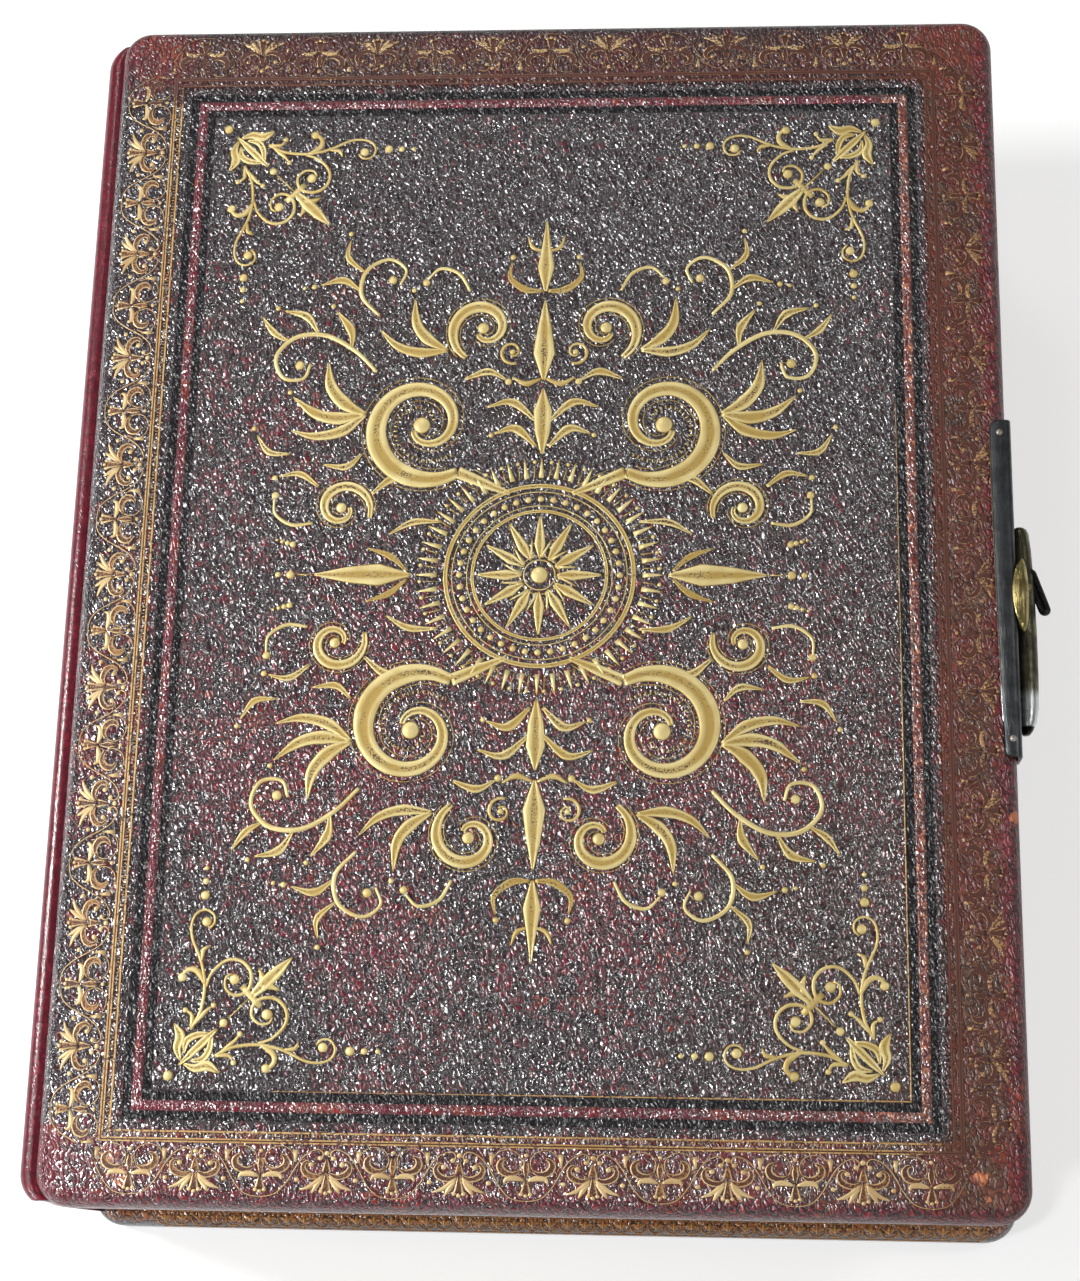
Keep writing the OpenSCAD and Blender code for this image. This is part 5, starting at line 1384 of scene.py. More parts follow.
            rotated = np.column_stack([kept[:, 0] * math.cos(turn) + kept[:, 1] * math.sin(turn),
                                       -kept[:, 0] * math.sin(turn) + kept[:, 1] * math.cos(turn),
                                       kept[:, 2]])
            whole.add(rotated, order)
        seat(whole.piece("front_scroll_roll", self.shape, finish, 0.11), "front_cover", "gold", "gilt_roll")

    def _spray(self) -> Relief:
        """One corner spray, with its corner dot at the origin and its arms along x and y."""
        half = Relief(0.9)
        half.stroke([(2.8, 3.6), (1.8, 6.4), (2.4, 9.2), (0.8, 12.2)], [0.6, 2.3, 2.9, 0.4], 0.2)
        half.stroke([(9.2, 9.9), (6.2, 9.5), (4.0, 8.1), (3.5, 5.2)], [1.0, 1.8, 1.9, 0.5], 0.2)
        half.stroke([(4.7, 10.8), (6.75, 14.9), (7.5, 20.3), (6.9, 24.9), (5.7, 28.4), (3.8, 32.6),
                     (3.5, 36.1),
                     (4.6, 38.6), (6.75, 39.4), (8.75, 38.2), (8.9, 36.1), (7.7, 34.9)],
                     [0.9, 0.9, 0.8, 0.7, 0.6])
        half.dot((7.1, 36.5), 1.4)
        half.stroke([(7.5, 21.4), (5.7, 24.5), (3.5, 25.1), (1.6, 23.4)], [0.5, 1.6, 1.4, 0.8])
        half.dot((2.0, 23.2), 1.3)
        half.stroke([(4.7, 11), (4.9, 14.1), (3.5, 15.3)], [0.5, 1.2, 0.5])
        half.dot((3.2, 15.4), 0.8)
        half.stroke([(5.5, 12), (8.2, 15.3), (9.7, 16.4)], [0.5, 1.2, 0.5])
        half.dot((9.9, 16.6), 0.8)
        half.stroke([(6.4, 27.2), (6.75, 29.9), (8.4, 30.6)], [0.5, 1.3, 0.4])
        half.stroke([(7.8, 21), (8.9, 24.1), (11.5, 26.8), (14, 27.6), (16.6, 26.8), (18.4, 24.5),
                     (18.4, 21.4),
                     (17, 19.5), (14.4, 19.1), (12.4, 21), (12.6, 23.4), (14, 24.1)],
                     [0.7, 0.9, 1.0, 0.9, 0.6])
        half.dot((14.6, 22.8), 1.5)
        for b, r in ((42.9, 1.3), (46.3, 0.95), (49.5, 0.7)):
            half.dot((6.3, b), r)
        whole = Relief(0.9)
        whole.placed(half, ((1, 0), (0, 1)), (0, 0))
        whole.placed(half, ((0, 1), (1, 0)), (0, 0))
        whole.dot((0, 0), 1.4)
        whole.stroke([(2.4, 2.4), (5.4, 5.4), (8.4, 8.4), (11.0, 11.0)], [0.4, 2.0, 2.2, 0.8], 0.2)
        whole.dot((12.5, 12.5), 1.2)
        whole.stroke([(13.6, 13.6), (18.2, 18.2)], [0.8, 0.8])
        whole.stroke([(16.4, 21.2), (21.2, 16.4)], [1.7, 1.7], section=Section.ROUND)
        whole.stroke([(19.0, 19.0), (22.0, 22.0), (25.0, 25.0), (28.2, 28.2)], [1.6, 3.6, 3.0, 0.3], 0.2)
        whole.stroke([(21.0, 21.0), (21.2, 23.4), (20.2, 25.6)], [1.0, 1.7, 0.3])
        whole.stroke([(21.0, 21.0), (23.4, 21.2), (25.6, 20.2)], [1.0, 1.7, 0.3])
        return whole

    def sprays(self) -> None:
        """The four gilt sprays in the corners of the panel."""
        spray = self._spray()
        whole = Relief()
        for sx in (-1, 1):
            for sy in (-1, 1):
                whole.placed(spray, ((-sx, 0), (0, -sy)),
                             (sx * self.spray_corner[0], sy * self.spray_corner[1]))
        piece = whole.piece("front_corner_sprays", self.shape, self.shop[Stuff.GOLD_TOOL], 0.14)
        seat(piece, "front_cover", "gold", "corner_sprays")


@dataclass
class CentreOrnament:
    """Gilt arabesque in the middle of the panel."""

    shape: CoverShape
    shop: Workshop
    repeat: PathRepeat
    medal_r: float = 24.0
    unit: float = 0.97
    ladder_pitch: float = 1.25
    finish: Material = field(init=False)

    def __post_init__(self) -> None:
        """Takes the gold that all its parts wear."""
        self.finish = self.shop[Stuff.GOLD_TOOL]

    def build(self) -> None:
        """Builds the ornament as one piece."""
        whole = Relief(0.9)
        quarter = self._quarter()
        for sx in (-1, 1):
            for sy in (-1, 1):
                whole.placed(quarter, ((sx * self.unit, 0), (0, sy * self.unit)), (0, 0))
        self._medallion(whole)
        for sy in (-1, 1):
            whole.placed(self._finial(), ((self.unit, 0), (0, sy * self.unit)), (0, 0))
        for sx in (-1, 1):
            whole.placed(self._side_leaf(), ((sx * self.unit, 0), (0, self.unit)), (0, 0))
        piece = whole.piece("front_centre_ornament", self.shape, self.finish, 0.15)
        seat(piece, "front_cover", "gold", "centre_ornament")

    def _ladder(self, ink: Relief, path: list, offset: float, width: float = 0.9) -> None:
        """Sets a row of small cells beside a line.

        Args:
            ink: the relief that takes them.
            path: the line's points.
            offset: distance of the cells from it, to its left.
            width: length of each cell across the row.
        """
        line = catmull(path, 1.0)
        ahead = np.gradient(line, axis=0)
        ahead /= np.linalg.norm(ahead, axis=1)[:, None]
        row = line + np.column_stack([-ahead[:, 1], ahead[:, 0]]) * offset
        length = np.linalg.norm(np.diff(row, axis=0), axis=1).sum()
        cell = Relief()
        cell.stroke([(0, -width / 2), (0, width / 2)], [0.62, 0.62], 0.15, Section.FINE)
        points, faces = self.repeat.run(row, False, cell, max(3, round(length / self.ladder_pitch)),
                                        self.finish, 0.12, 5)
        ink.add(points, faces)

    def _quarter(self) -> Relief:
        """Scrollwork of one quarter."""
        ink = Relief(0.9)
        great = volute((31, 41), 16, 3.2, -125, 330, 26)
        ink.outlined(great, [3.2, 5.8, 6.2, 5.0, 4.0, 2.8, 1.6])
        ink.dot((31.6, 41.0), 2.6, 0.3, 14)
        self._ladder(ink, great[:17], 5.1)
        ink.outlined([(8, 22), (14, 24.5), (21.8, 27.9)], [1.2, 3.0, 3.6])
        small = volute((16, 68), 9.3, 2, -60, 320, 18)
        ink.outlined(small, [1.6, 3.2, 3.6, 2.6, 1.4], 0.6)
        ink.dot((16.2, 68.4), 1.8, 0.26, 12)
        side = volute((51.5, 18), 7.7, 1.8, 200, -190, 16)
        ink.outlined(side, [1.2, 2.6, 3.0, 2.2, 1.2], 0.6)
        ink.dot((51.8, 18.2), 1.6, 0.26, 12)
        for path, widths in (
                ([(46.5, 44), (52, 47), (56, 52), (57, 59)], [1.2, 4.2, 3.4, 0.3]),
                ([(46.5, 44), (54, 43), (60, 44.5), (66, 49)], [1.2, 4.0, 3.0, 0.3]),
                ([(46.5, 44), (52.5, 39.5), (59.5, 38), (66, 39.5)], [1.0, 3.4, 2.6, 0.3]),
                ([(25.5, 62), (31, 65.5), (34, 70), (34.6, 77)], [1.0, 3.6, 2.8, 0.3]),
                ([(25.5, 62), (33, 61.5), (39, 63.5), (43.6, 68)], [1.0, 3.2, 2.4, 0.3]),
                ([(44, 22), (39, 26), (33.5, 25.5)], [0.8, 2.4, 0.3]),
                ([(59, 14), (64.5, 13.5), (69, 16.5), (69.4, 21)], [0.8, 1.1, 0.9, 0.6]),
                ([(58, 24), (63, 27.5), (68.5, 26.8)], [0.8, 2.0, 0.4]),
                ([(20, 79), (23, 84), (28, 85.6), (31.5, 82.5)], [0.8, 1.1, 1.0, 0.6]),
                ([(47, 33), (51, 29.5), (57, 30)], [0.6, 2.2, 0.4]),
                ([(20.5, 54), (14.5, 56), (9.5, 53.5)], [0.8, 2.4, 0.4]),
                ([(1.6, 35), (7, 40), (12.6, 38.6)], [0.8, 2.8, 0.4]),
                ([(1.6, 42), (8, 47.4), (14.6, 46)], [0.8, 2.6, 0.4]),
                ([(44, 56), (50, 62), (58, 66.5), (66, 66), (71, 60.6), (69, 54.6), (63.6, 54.2),
                  (61.8, 58.4)],
                 [1.0, 1.4, 1.4, 1.2, 0.9]),
                ([(51, 62.6), (51.4, 68), (55.4, 73.4)], [0.6, 2.8, 0.4]),
                ([(60, 67), (63.4, 72), (69.4, 73.6)], [0.6, 2.6, 0.4]),
                ([(67.5, 64.6), (72, 67.4), (75.4, 72)], [0.5, 2.2, 0.3]),
                ([(44, 72), (49, 78), (48, 85), (42, 88.4), (37.4, 85.4), (38.8, 81)],
                 [0.8, 1.3, 1.2, 1.0, 0.7]),
                ([(49, 79), (54, 82.4), (60, 81)], [0.5, 2.4, 0.3]),
                ([(48.4, 84.6), (53, 89), (52.6, 94)], [0.5, 1.9, 0.3]),
                ([(66, 33), (71.6, 33.6), (75, 38.4)], [0.5, 2.0, 0.3]),
                ([(25.6, 14.4), (33, 14.2), (39, 11)], [0.6, 2.2, 0.4]),
        ):
            ink.stroke(path, widths, 0.18)
        ink.stroke(volute((8.4, 61.6), 3.5, 0.9, -110, 300, 12), [0.8, 1.0, 0.8, 0.6])
        for spot, radius in (((31.8, 81.6), 1.2), ((69.2, 21.6), 1.2), ((69.6, 26.4), 0.9),
                             ((66.8, 50.4), 0.8),
                             ((35.0, 79.4), 0.8), ((9.2, 53.2), 1.1), ((64.6, 58.0), 1.5),
                             ((40.8, 82.4), 1.4),
                             ((8.3, 61.6), 0.9), ((61.8, 80.6), 0.9), ((64.4, 80.2), 0.65), ((56.4, 75), 0.8),
                             ((75.8, 40.2), 0.8), ((52.6, 96), 0.8), ((13.4, 38.2), 0.8),
                             ((71.2, 74.4), 0.8)):
            ink.dot(spot, radius)
        for i in range(4):
            ink.dot((64 + 1.4 * i, 8.2 + 0.4 * i), 1.0 - 0.18 * i)
        return ink

    def _ring(self, radius: float, width: float, ink: Relief, section: Section = Section.FINE) -> None:
        """A closed circle line."""
        ink.stroke(volute((0, 0), radius, radius, 0, 360, 48), [width, width], 0.16, section)

    def _round_row(self, ink: Relief, radius: float, motif: Relief, count: int) -> None:
        """A motif repeated round the middle."""
        circle = np.array(volute((0, 0), radius, radius, 0, 360, 72))[:-1]
        points, faces = self.repeat.run(circle, True, motif, count, self.finish)
        ink.add(points, faces)

    def _medallion(self, ink: Relief) -> None:
        """Wheel of rays, beads and rings in the middle."""
        r = self.medal_r
        self._ring(r - 0.6, 1.2, ink, Section.FLAT)
        self._ring(r - 2.2, 0.45, ink)
        self._ring(r - 5.9, 0.45, ink)
        self._ring(r - 7.3, 0.9, ink, Section.FLAT)
        bead = Relief()
        bead.dot((0, 0), 0.95)
        self._round_row(ink, r - 4.05, bead, 40)
        petal = Relief()
        petal.stroke([(0, 5.6), (0, 2.5), (0, -0.5), (0, -5.4)], [0.5, 3.1, 2.0, 0.5], 0.2)
        petal.stroke([(2.05, 5.4), (2.05, 0.5)], [0.9, 0.3], 0.14)
        petal.dot((2.05, 5.2), 0.75)
        self._round_row(ink, 10.0, petal, 12)
        self._ring(3.9, 0.6, ink)
        self._ring(5.0, 0.4, ink)
        ink.dot((0, 0), 2.5, 0.35, 16)
        ray = Relief()
        ray.stroke([(0, 0), (0, -5.2)], [1.5, 0.3], 0.16)
        ray.stroke([(1.75, 0), (1.75, -3.2)], [0.4, 0.4], 0.12)
        ray.dot((1.75, -4.2), 0.6)
        self._round_row(ink, r + 1.6, ray, 44)

    def _finial(self) -> Relief:
        """Leaves and lozenges that end the ornament at head and tail."""
        ink = Relief(0.9)
        ink.stroke([(0, 33.0), (0, 40.0), (0, 44.3), (0, 51.1)], [0.8, 4.4, 5.4, 0.6], 0.2, Section.FLAT)
        ink.stroke([(0, 53.6), (0, 60.3), (0, 68), (0, 76.3)], [0.8, 6.4, 4.0, 0.4], 0.2, Section.FLAT)
        ink.stroke([(0, 78.9), (0, 84.5), (0, 92), (0, 99.5)], [0.8, 5.0, 2.4, 0.3], 0.2, Section.FLAT)
        ink.both([(0.6, 79), (5.2, 79.4), (9.4, 82.8), (9.0, 87.4)], [0.8, 2.2, 1.6, 0.4])
        ink.both([(0.6, 54), (4.6, 52.6), (8.2, 54.4)], [0.7, 1.8, 0.5])
        ink.both([(0.6, 90.5), (3.6, 91.6), (5.0, 95.0)], [0.6, 1.3, 0.3])
        ink.both_dots((8.8, 88.8), 0.9)
        return ink

    def _side_leaf(self) -> Relief:
        """Leaf that points to the fore-edge or the joint."""
        ink = Relief(0.9)
        ink.stroke([(33, 0), (43.3, 0), (49, 0), (58, 0)], [0.8, 6.6, 4.6, 0.5], 0.2, Section.FLAT)
        ink.stroke([(58.6, 0), (62.4, 0)], [0.6, 0.6])
        ink.dot((64.2, 0), 1.3)
        ink.dot((67.4, 0), 0.9)
        for side in (-1, 1):
            ink.stroke([(34, 1.0 * side), (38.5, 5.0 * side), (44.5, 7.2 * side)], [0.7, 1.9, 0.4])
        return ink


@dataclass
class Spine:
    """Swelling spine with a rolled joint, and the thin skin that bends from it to the cover."""

    shop: Workshop
    shape: CoverShape
    hinge: tuple = (-118.1, 71.0)
    side: float = -120.1
    swell: float = 3.5
    swell_low: float = 9.0
    swell_high: float = 60.5
    foot: float = 1.5
    leather: float = 1.6
    bead: float = 2.2
    half_length: float = 152.6
    skin: tuple = (2.35, 2.7)
    skin_foot: float = 65.5

    def build(self) -> None:
        """Builds both pieces."""
        hx, hz = self.hinge
        levels = np.linspace(self.foot, hz - 2.0, 22)
        share = np.clip((levels - self.swell_low) / (self.swell_high - self.swell_low), 0, 1)
        outer = self.side - self.swell * np.sin(math.pi * share)
        ring = list(zip(outer, levels))
        ring += [(hx + self.bead * math.cos(a),
                  hz + self.bead * math.sin(a)) for a in np.radians(np.arange(195, -31, -15))]
        ring += [(x + self.leather, z) for x, z in reversed(list(zip(outer, levels)))]
        back = self._loft("spine_skin", ring, 1.4)
        seat(back, "album", "joint_leather", "spine_leather")
        inner, out = self.skin
        turn = np.radians(np.arange(32, 181, 8))
        ring = [(hx + out * math.cos(a), hz + out * math.sin(a)) for a in turn]
        ring += [(hx - out, z) for z in np.linspace(hz - 1.5, self.skin_foot, 4)]
        ring += [(hx - inner, z) for z in np.linspace(self.skin_foot, hz - 1.5, 4)]
        ring += [(hx + inner * math.cos(a), hz + inner * math.sin(a)) for a in turn[::-1]]
        strip = self._loft("joint_skin", ring, 0.0)
        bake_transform(strip)
        LOG.info("%s: %d faces bend at the hinge", strip.name, len(strip.data.polygons))

    def _loft(self, name: str, ring: list, ease: float) -> Object:
        """Draws a closed section along y, with ends that follow the cover's round corners.

        Args:
            name: the piece's name.
            ring: the section's points, x and z.
            ease: how far the section's ends turn in, in millimetres.
        Returns:
            The new piece.
        """
        section = np.array(ring)
        radius = self.shape.corner
        straight = self.half_length - 6.5
        steps = np.concatenate([np.linspace(-straight, straight, 40),
                                straight + np.array([1.3, 2.6, 3.8, 4.8, 5.6, 6.1, 6.5])])
        stations = np.unique(np.round(np.concatenate([-steps, steps]), 3))
        points = []
        for y in stations:
            past = max(0.0, abs(y) - (self.shape.high[1] - radius))
            shift = radius - math.sqrt(radius * radius - past * past)
            turn_in = ease * smoothstep(np.array(abs(y)), self.half_length - 2.0, self.half_length)
            moved = section + np.array([shift, 0.0])
            moved[:, 0] += turn_in * 0.4
            points.append(np.column_stack([moved[:, 0], np.full(len(section), y), moved[:, 1]]))
        piece = link_mesh(name, *skin(points), self.shop[Stuff.JOINT])
        face_out(piece)
        return piece


@dataclass
class RearCover:
    """Rear cover and the tooling on its ledge."""

    shop: Workshop
    repeat: PathRepeat
    ledge_pitch: float = 4.6
    ledge_middle: float = 154.0

    def build(self) -> None:
        """Dresses the cover and tools its ledge."""
        self.shop.dress(Stuff.REAR, "rear_leather")
        self.shop.dress(Stuff.BOARD, "rear_board", "spine_card")
        self.ledge_roll()

    def _fleuron(self) -> Relief:
        """A trefoil on a small arch."""
        ink = Relief(0.5)
        ink.stroke([(0, -0.9), (0, 0.4), (0, 1.6)], [0.4, 1.2, 0.3], 0.16)
        ink.both([(0.2, -0.5), (0.9, 0.5), (1.7, 0.6)], [0.4, 0.9, 0.3], 0.16)
        ink.both([(0.3, -1.5), (1.3, -1.2), (2.0, -0.5), (2.3, 0.9)], [0.3, 0.5, 0.5, 0.3], 0.14)
        ink.dot((2.3, 1.3), 0.42)
        ink.dot((0, -1.5), 0.36)
        return ink

    def ledge_roll(self) -> None:
        """Row of gilt fleurons between two lines on the ledge past the front cover."""
        low, high = box_mm("rear_edge_gilding")
        finish = self.shop[Stuff.GOLD_REAR]
        whole = Relief(2.0)
        motif = self._fleuron()
        out, fore = self.ledge_middle, box_mm("rear_leather")[1][0] - 2.0
        rows = (
            [(low[0], -out), (fore - 8, -out)],
            [(fore, 8 - out), (fore, out - 8)],
            [(fore - 8, out), (low[0], out)],
        )
        for ends in rows:
            path = np.array(ends)
            length = np.linalg.norm(path[1] - path[0])
            points, faces = self.repeat.run(path, False, motif, round(length / self.ledge_pitch) + 1, finish)
            whole.add(points, faces)
            ahead = (path[1] - path[0]) / length
            aside = np.array([-ahead[1], ahead[0]])
            for offset in (-1.95, 1.75):
                line = [path[0] + aside * offset, (path[0] + path[1]) / 2 + aside * offset,
                        path[1] + aside * offset]
                whole.stroke(line, [0.3, 0.3], 0.1)
        placed = whole.array()
        placed[:, 2] += high[2] - 0.15
        piece = link_mesh("rear_ledge_roll", placed, whole.faces, finish)
        seat(piece, "album", "gold", "rear_edge_gilding")


@dataclass
class Inside:
    """Leaves, music case and movement."""

    shop: Workshop

    def build(self) -> None:
        """Dresses the CAD nodes, which have their full shape already."""
        shop = self.shop
        shop.dress(Stuff.PAGES, "leaf_block")
        shop.dress(Stuff.GILT_PAPER, "case_head_wall", "case_tail_wall", "case_fore_wall", "case_spine_wall")
        shop.dress(Stuff.DEAL, "case_deck", "sound_board")
        shop.dress(Stuff.IRON, "bedplate", "comb_block")
        shop.dress(Stuff.MOVEMENT, "key_well", "winding_key", "spring_barrel", "barrel_bridge",
                   "music_cylinder",
                   "cylinder_wheel", "cylinder_bearings", "governor_frame", "governor_wheel", "stop_guide",
                   "stop_slide")
        shop.dress(Stuff.STEEL, "winding_arbor", "ratchet_wheel", "click", "click_screw", "click_spring",
                   "bedplate_screws", "mainspring", "bridge_screws", "cylinder_pins", "cylinder_spindle",
                   "music_comb", "comb_screws", "worm_and_fly", "brake_wire")


@dataclass
class Clasp:
    """Fore-edge clasp: a plate on the cover, and a strap with a thumb piece and a wire lever."""

    shop: Workshop
    plate_ends: tuple = (-45.5, 40.5)
    plate_top: float = 80.95
    bar: tuple = ((13.9, 118.8, 1.2), (13.5, 118.9, 1.7), (12.4, 119.0, 2.1), (8, 119.2, 2.35),
                  (0, 119.4, 2.55),
                  (-12, 119.55, 2.65), (-24, 119.6, 2.6), (-32, 119.55, 2.4), (-35.6, 119.3, 2.0),
                  (-37.8, 118.9, 1.4),
                  (-38.7, 118.7, 0.9))
    bar_middle: float = 74.4
    bar_rise: float = 2.2
    slab: tuple = ((75, -36, 12), (70, -34, 11), (60, -30, 8), (45, -25, 2), (24, -19.3, -4.7),
                   (15, -19.3, -4.7))
    slab_x: tuple = (117.3, 119.1)
    knuckle: tuple = (118.15, 14.6, 2.2)
    lens: tuple = (-4.65, 9.35, 2.05)
    lens_floor: float = 81.05
    lever_root: tuple = (121.0, 2.5)
    lever_tip: tuple = (124.25, -7.1)
    wire_radius: float = 0.8
    loop_half: float = 0.74
    lever_level: float = 74.6
    rivets: tuple = ((113.95, 37.2), (114.6, -41.1))

    def build(self) -> None:
        """Builds the plate, the strap and the small parts, and dresses those that stay."""
        shop = self.shop
        shop.dress(Stuff.PLATE, "clasp_rear_plate")
        shop.dress(Stuff.BRASS, "clasp_hinge_pin")
        shop.dress(Stuff.RIVET, "clasp_rear_rivets")
        shop.dress(Stuff.WIRE, "clasp_lever_pin")
        self._piece("clasp_plate_skin", Stuff.PLATE, "front_cover", "clasp_metal", [self._plate()],
                    "clasp_front_plate")
        rim = [(self._inner(y) - 0.02, y, self.plate_top - 0.3) for y in np.linspace(-43.5, 38.5, 40)]
        self._piece("clasp_plate_rim", Stuff.STRAP, "front_cover", "clasp_brass", [wire(rim, 0.22)])
        heads = [self._dome(x, y, self.plate_top, 0.85, 0.45) for x, y in self.rivets]
        self._piece("clasp_plate_rivets", Stuff.RIVET, "front_cover", "rivet_metal", heads,
                    "clasp_front_rivets")
        self._piece("clasp_strap_skin", Stuff.STRAP, "strap", "clasp_metal", self._strap(), "clasp_strap")
        self._piece("clasp_thumb_lens", Stuff.BRASS, "strap", "clasp_brass", [self._thumb()],
                    "clasp_thumb_piece")
        self._piece("clasp_thumb_stud", Stuff.BRASS, "strap", "clasp_brass",
                    [self._dome(119.95, -2.3, 77.4, 0.95, 1.5)],
                    "clasp_thumb_rivet")
        self._piece("clasp_wire_lever", Stuff.WIRE, "release_lever", "black_wire", [self._lever()],
                    "clasp_release_lever")

    def _piece(self, name: str, stuff: Stuff, body: str, slot: str, parts: list, *nodes: str) -> None:
        """Joins closed parts to one piece and seats it."""
        whole = Relief()
        for points, faces in parts:
            whole.add(points, faces)
        piece = link_mesh(name, whole.array(), whole.faces, self.shop[stuff])
        face_out(piece)
        seat(piece, body, slot, *nodes)

    def _inner(self, y: float) -> float:
        """The plate's inner edge, which leans out toward the tail."""
        low, high = self.plate_ends
        edge = 111.6 + 1.1 * ((high - y) / (high - low)) ** 2
        for end, radius in ((high, 1.8), (low, 1.2)):
            past = max(0.0, radius - abs(end - y))
            edge += radius - math.sqrt(max(radius ** 2 - past ** 2, 0.0))
        return edge

    def _plate(self) -> tuple:
        """Plate that lies on the cover's edge and turns down its side."""
        low, high = self.plate_ends
        ends = np.array([0, 0.15, 0.5, 1.0, 1.8])
        rings = []
        for y in np.concatenate([low + ends, np.linspace(low + 4, high - 4, 24), high - ends[::-1]]):
            x = self._inner(y)
            top = self.plate_top
            section = ((x, 80.0), (x, top - 0.25), (x + 0.25, top), (115.4, top), (116.1, top - 0.15),
                       (116.6, top - 0.6),
                       (116.9, top - 1.4), (116.95, 77.0), (116.95, 72.0), (116.1, 71.9), (116.05, 77.0),
                       (115.7, 79.2),
                       (114.8, 79.9))
            rings.append(np.array([(u, y, v) for u, v in section]))
        return skin(rings)

    @staticmethod
    def _dome(x: float, y: float, z: float, radius: float, height: float) -> tuple:
        """Round rivet head on a face at height z."""
        angles = np.arange(16) * math.pi / 8
        rings = [np.column_stack([x + radius * r * np.cos(angles), y + radius * r * np.sin(angles),
                                  np.full(16, z + height * h)])
                 for r, h in ((1.0, -0.4), (1.0, 0.15), (0.93, 0.5), (0.72, 0.8), (0.4, 0.96), (0.12, 1.0))]
        return skin(rings)

    def _strap(self) -> list:
        """Tapered strap with its knuckle and the rolled bar along its top."""
        near, far = self.slab_x
        slab = [np.array([(near, a, z), (far - 0.4, a, z), (far, a + 0.4, z), (far, b - 0.4, z),
                          (far - 0.4, b, z), (near, b, z)])
                for z, a, b in self.slab]
        angles = np.arange(20) * math.pi / 10
        rings = []
        for y, middle, half in self.bar:
            rise = self.bar_rise * min(1.0, 0.35 + 0.65 * half / 1.9)
            ring = np.column_stack([middle + half * np.cos(angles), np.full(20, y),
                                    self.bar_middle + rise * np.sin(angles)])
            rings.append(ring)
        x, z, radius = self.knuckle
        barrel = [np.column_stack([x + radius * np.cos(angles), np.full(20, y), z + radius * np.sin(angles)])
                  for y in (-19.3, -12.0, -4.7)]
        return [skin(slab), skin(rings), skin(barrel)]

    def _thumb(self) -> tuple:
        """Lens-shaped thumb piece, pointed at both ends."""
        middle, half, wide = self.lens
        angles = np.arange(16) * math.pi / 8
        rings = []
        for t in np.sin(np.linspace(-1.54, 1.54, 23)):
            bulge = (1 - t * t) ** 0.7
            x = 117.75 + 0.7 * t * t + (wide * bulge + 0.12) * np.cos(angles)
            z = 79.2 + (2.5 * bulge + 0.25) * np.sin(angles)
            over = self.lens_floor + 0.4 * np.maximum(np.sin(angles), 0)
            z = np.where(x < 117.1, np.maximum(z, over), z)
            rings.append(np.column_stack([x, np.full(16, middle + half * t), z]))
        return skin(rings)

    def _lever(self) -> tuple:
        """Loop of thick wire that leans out from the pin."""
        root, tip = np.array(self.lever_root), np.array(self.lever_tip)
        ahead = (tip - root) / np.linalg.norm(tip - root)
        aside = np.array([-ahead[1], ahead[0]])
        path = []
        for centre, start in ((tip, -90), (root + ahead * 0.6, 90)):
            for angle in np.radians(np.linspace(start, start + 180, 9)):
                spot = centre + self.loop_half * (ahead * math.cos(angle) + aside * math.sin(angle))
                path.append((spot[0], spot[1], self.lever_level))
        return wire(path, self.wire_radius, closed=True)


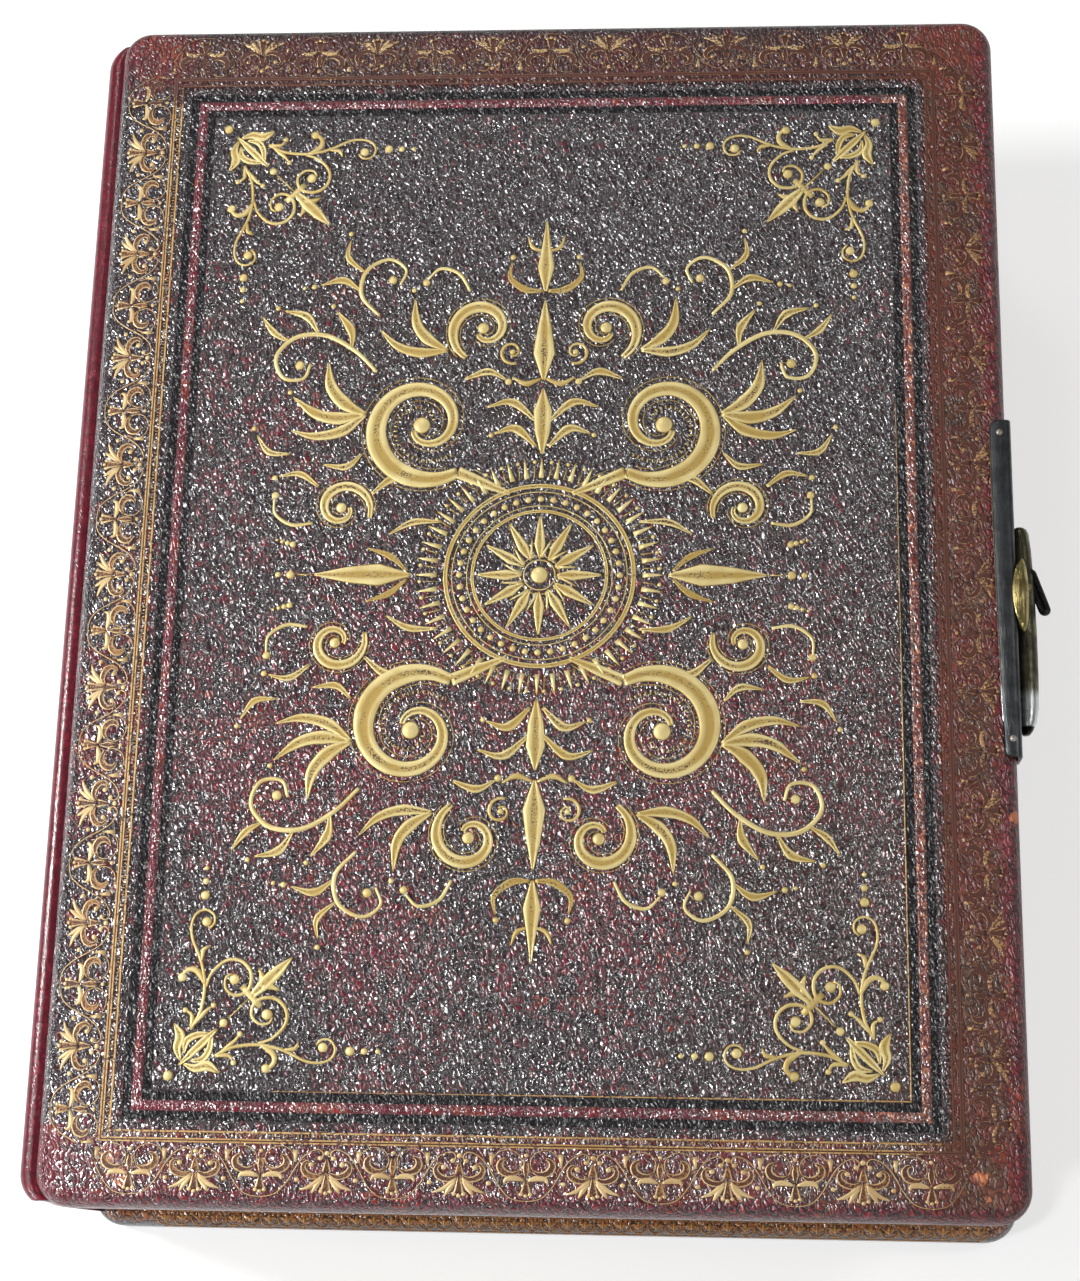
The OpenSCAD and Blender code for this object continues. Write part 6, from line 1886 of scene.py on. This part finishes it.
@dataclass
class Studio:
    """Floor, lamps, background and camera."""

    centre: tuple = (37.216, -174.460, 624.997)
    right: tuple = (0.99790914, 0.0212601, -0.06103562)
    down: tuple = (0.00346511, -0.96059137, -0.27794281)
    ahead: tuple = (-0.06453938, 0.27715018, -0.95865658)
    lens: float = 65.0
    lamps: tuple = (
        ("key_light", (-620, 90, 740), (-20, -20, 80), 160, 6.2),
        ("low_light", (-540, -400, 520), (-20, -60, 80), 120, 2.5),
        ("head_light", (-190, 640, 760), (-40, 120, 80), 200, 1.2),
        ("second_light", (520, 60, 760), (30, -60, 80), 160, 1.0),
        ("fill_light", (420, -760, 520), (0, -100, 60), 500, 1.3),
        ("glare_light", (-345, -105, 960), (-105, -140, 80), 120, 0.45),
    )
    zenith: float = 0.08
    horizon: tuple = (0.02, 0.3)
    sensor: float = 36.0
    floor_half: float = 2600.0
    floor_level: float = -0.2
    floor_tone: tuple = (0.6, 0.6, 0.6, 1.0)
    floor_glow: float = 0.58

    def build(self) -> None:
        """Builds everything around the object."""
        self.camera()
        self.floor()
        self.world()
        for lamp in self.lamps:
            self.lamp(*lamp)
        settings = bpy.context.scene.view_settings
        settings.view_transform = "Standard"

    def camera(self) -> None:
        """The photograph's view."""
        data = bpy.data.cameras.new("camera")
        data.lens = self.lens
        data.sensor_width = self.sensor
        data.clip_start = 0.01
        camera = bpy.data.objects.new("camera", data)
        turn = Matrix((self.right, [-v for v in self.down], [-v for v in self.ahead])).transposed()
        camera.matrix_world = Matrix.Translation(Vector(self.centre) * MM) @ turn.to_4x4()
        bpy.context.scene.collection.objects.link(camera)
        bpy.context.scene.camera = camera

    def floor(self) -> None:
        """Pale floor that shows white to the camera and keeps the shadow."""
        half, level = self.floor_half, self.floor_level
        material = bpy.data.materials.new("studio_floor")
        material.use_nodes = True
        material.node_tree.nodes.clear()
        graph = Graph(material.node_tree)
        matte = graph.add("ShaderNodeBsdfDiffuse", {"Color": self.floor_tone}).outputs[0]
        glow = graph.add("ShaderNodeEmission",
                         {"Color": (1, 1, 1, 1), "Strength": self.floor_glow}).outputs[0]
        both = graph.add("ShaderNodeAddShader", {0: matte, 1: glow}).outputs[0]
        seen = self._seen(graph)
        mixed = graph.add("ShaderNodeMixShader", {0: seen, 1: matte, 2: both}).outputs[0]
        graph.add("ShaderNodeOutputMaterial", {"Surface": mixed})
        corners = np.array([(-half, -half, level), (half, -half, level), (half, half, level),
                            (-half, half, level)])
        link_mesh("studio_floor", corners, [(0, 1, 2, 3)], material, smooth=False)

    @staticmethod
    def _seen(graph: Graph) -> NodeSocket:
        """1 for what the camera sees, directly, in gloss or through glass."""
        path = graph.add("ShaderNodeLightPath").outputs
        first = graph.math("MAXIMUM", path["Is Camera Ray"], path["Is Glossy Ray"])
        return graph.math("MAXIMUM", first, path["Is Transmission Ray"])

    def world(self) -> None:
        """Soft light from all sides, white at the horizon and dimmer overhead."""
        world = bpy.data.worlds.new("studio")
        world.use_nodes = True
        world.node_tree.nodes.clear()
        graph = Graph(world.node_tree)
        up = graph.apart(graph.add("ShaderNodeTexCoord").outputs["Generated"])[2]
        strength = graph.add("ShaderNodeMapRange",
                             {0: up, 1: self.horizon[0], 2: self.horizon[1], 3: 1.0,
                              4: self.zenith}).outputs[0]
        light = graph.add("ShaderNodeBackground", {"Color": (1, 1, 1, 1), "Strength": strength}).outputs[0]
        graph.add("ShaderNodeOutputWorld", {"Surface": light})
        bpy.context.scene.world = world

    def lamp(self, name: str, place: tuple, aim: tuple, size: float, power: float) -> None:
        """A square soft lamp.

        Args:
            name: its name.
            place: where it stands.
            aim: the point that it faces.
            size: its width.
            power: its power in watts.
        """
        data = bpy.data.lights.new(name, "AREA")
        data.size = size * MM
        data.energy = power
        lamp = bpy.data.objects.new(name, data)
        toward = Vector(aim) - Vector(place)
        turn = toward.to_track_quat("-Z", "Y").to_matrix().to_4x4()
        lamp.matrix_world = Matrix.Translation(Vector(place) * MM) @ turn
        bpy.context.scene.collection.objects.link(lamp)


def main() -> None:
    """Builds the scene, piece by piece."""
    logging.basicConfig(level=logging.INFO, format="%(name)s %(message)s")
    Studio().build()
    shop = Workshop()
    repeat = PathRepeat()
    shape = CoverShape()
    FrontCover(shape, shop, repeat).build()
    RearCover(shop, repeat).build()
    Spine(shop, shape).build()
    Inside(shop).build()
    Clasp(shop).build()


if __name__ == "__main__":
    main()
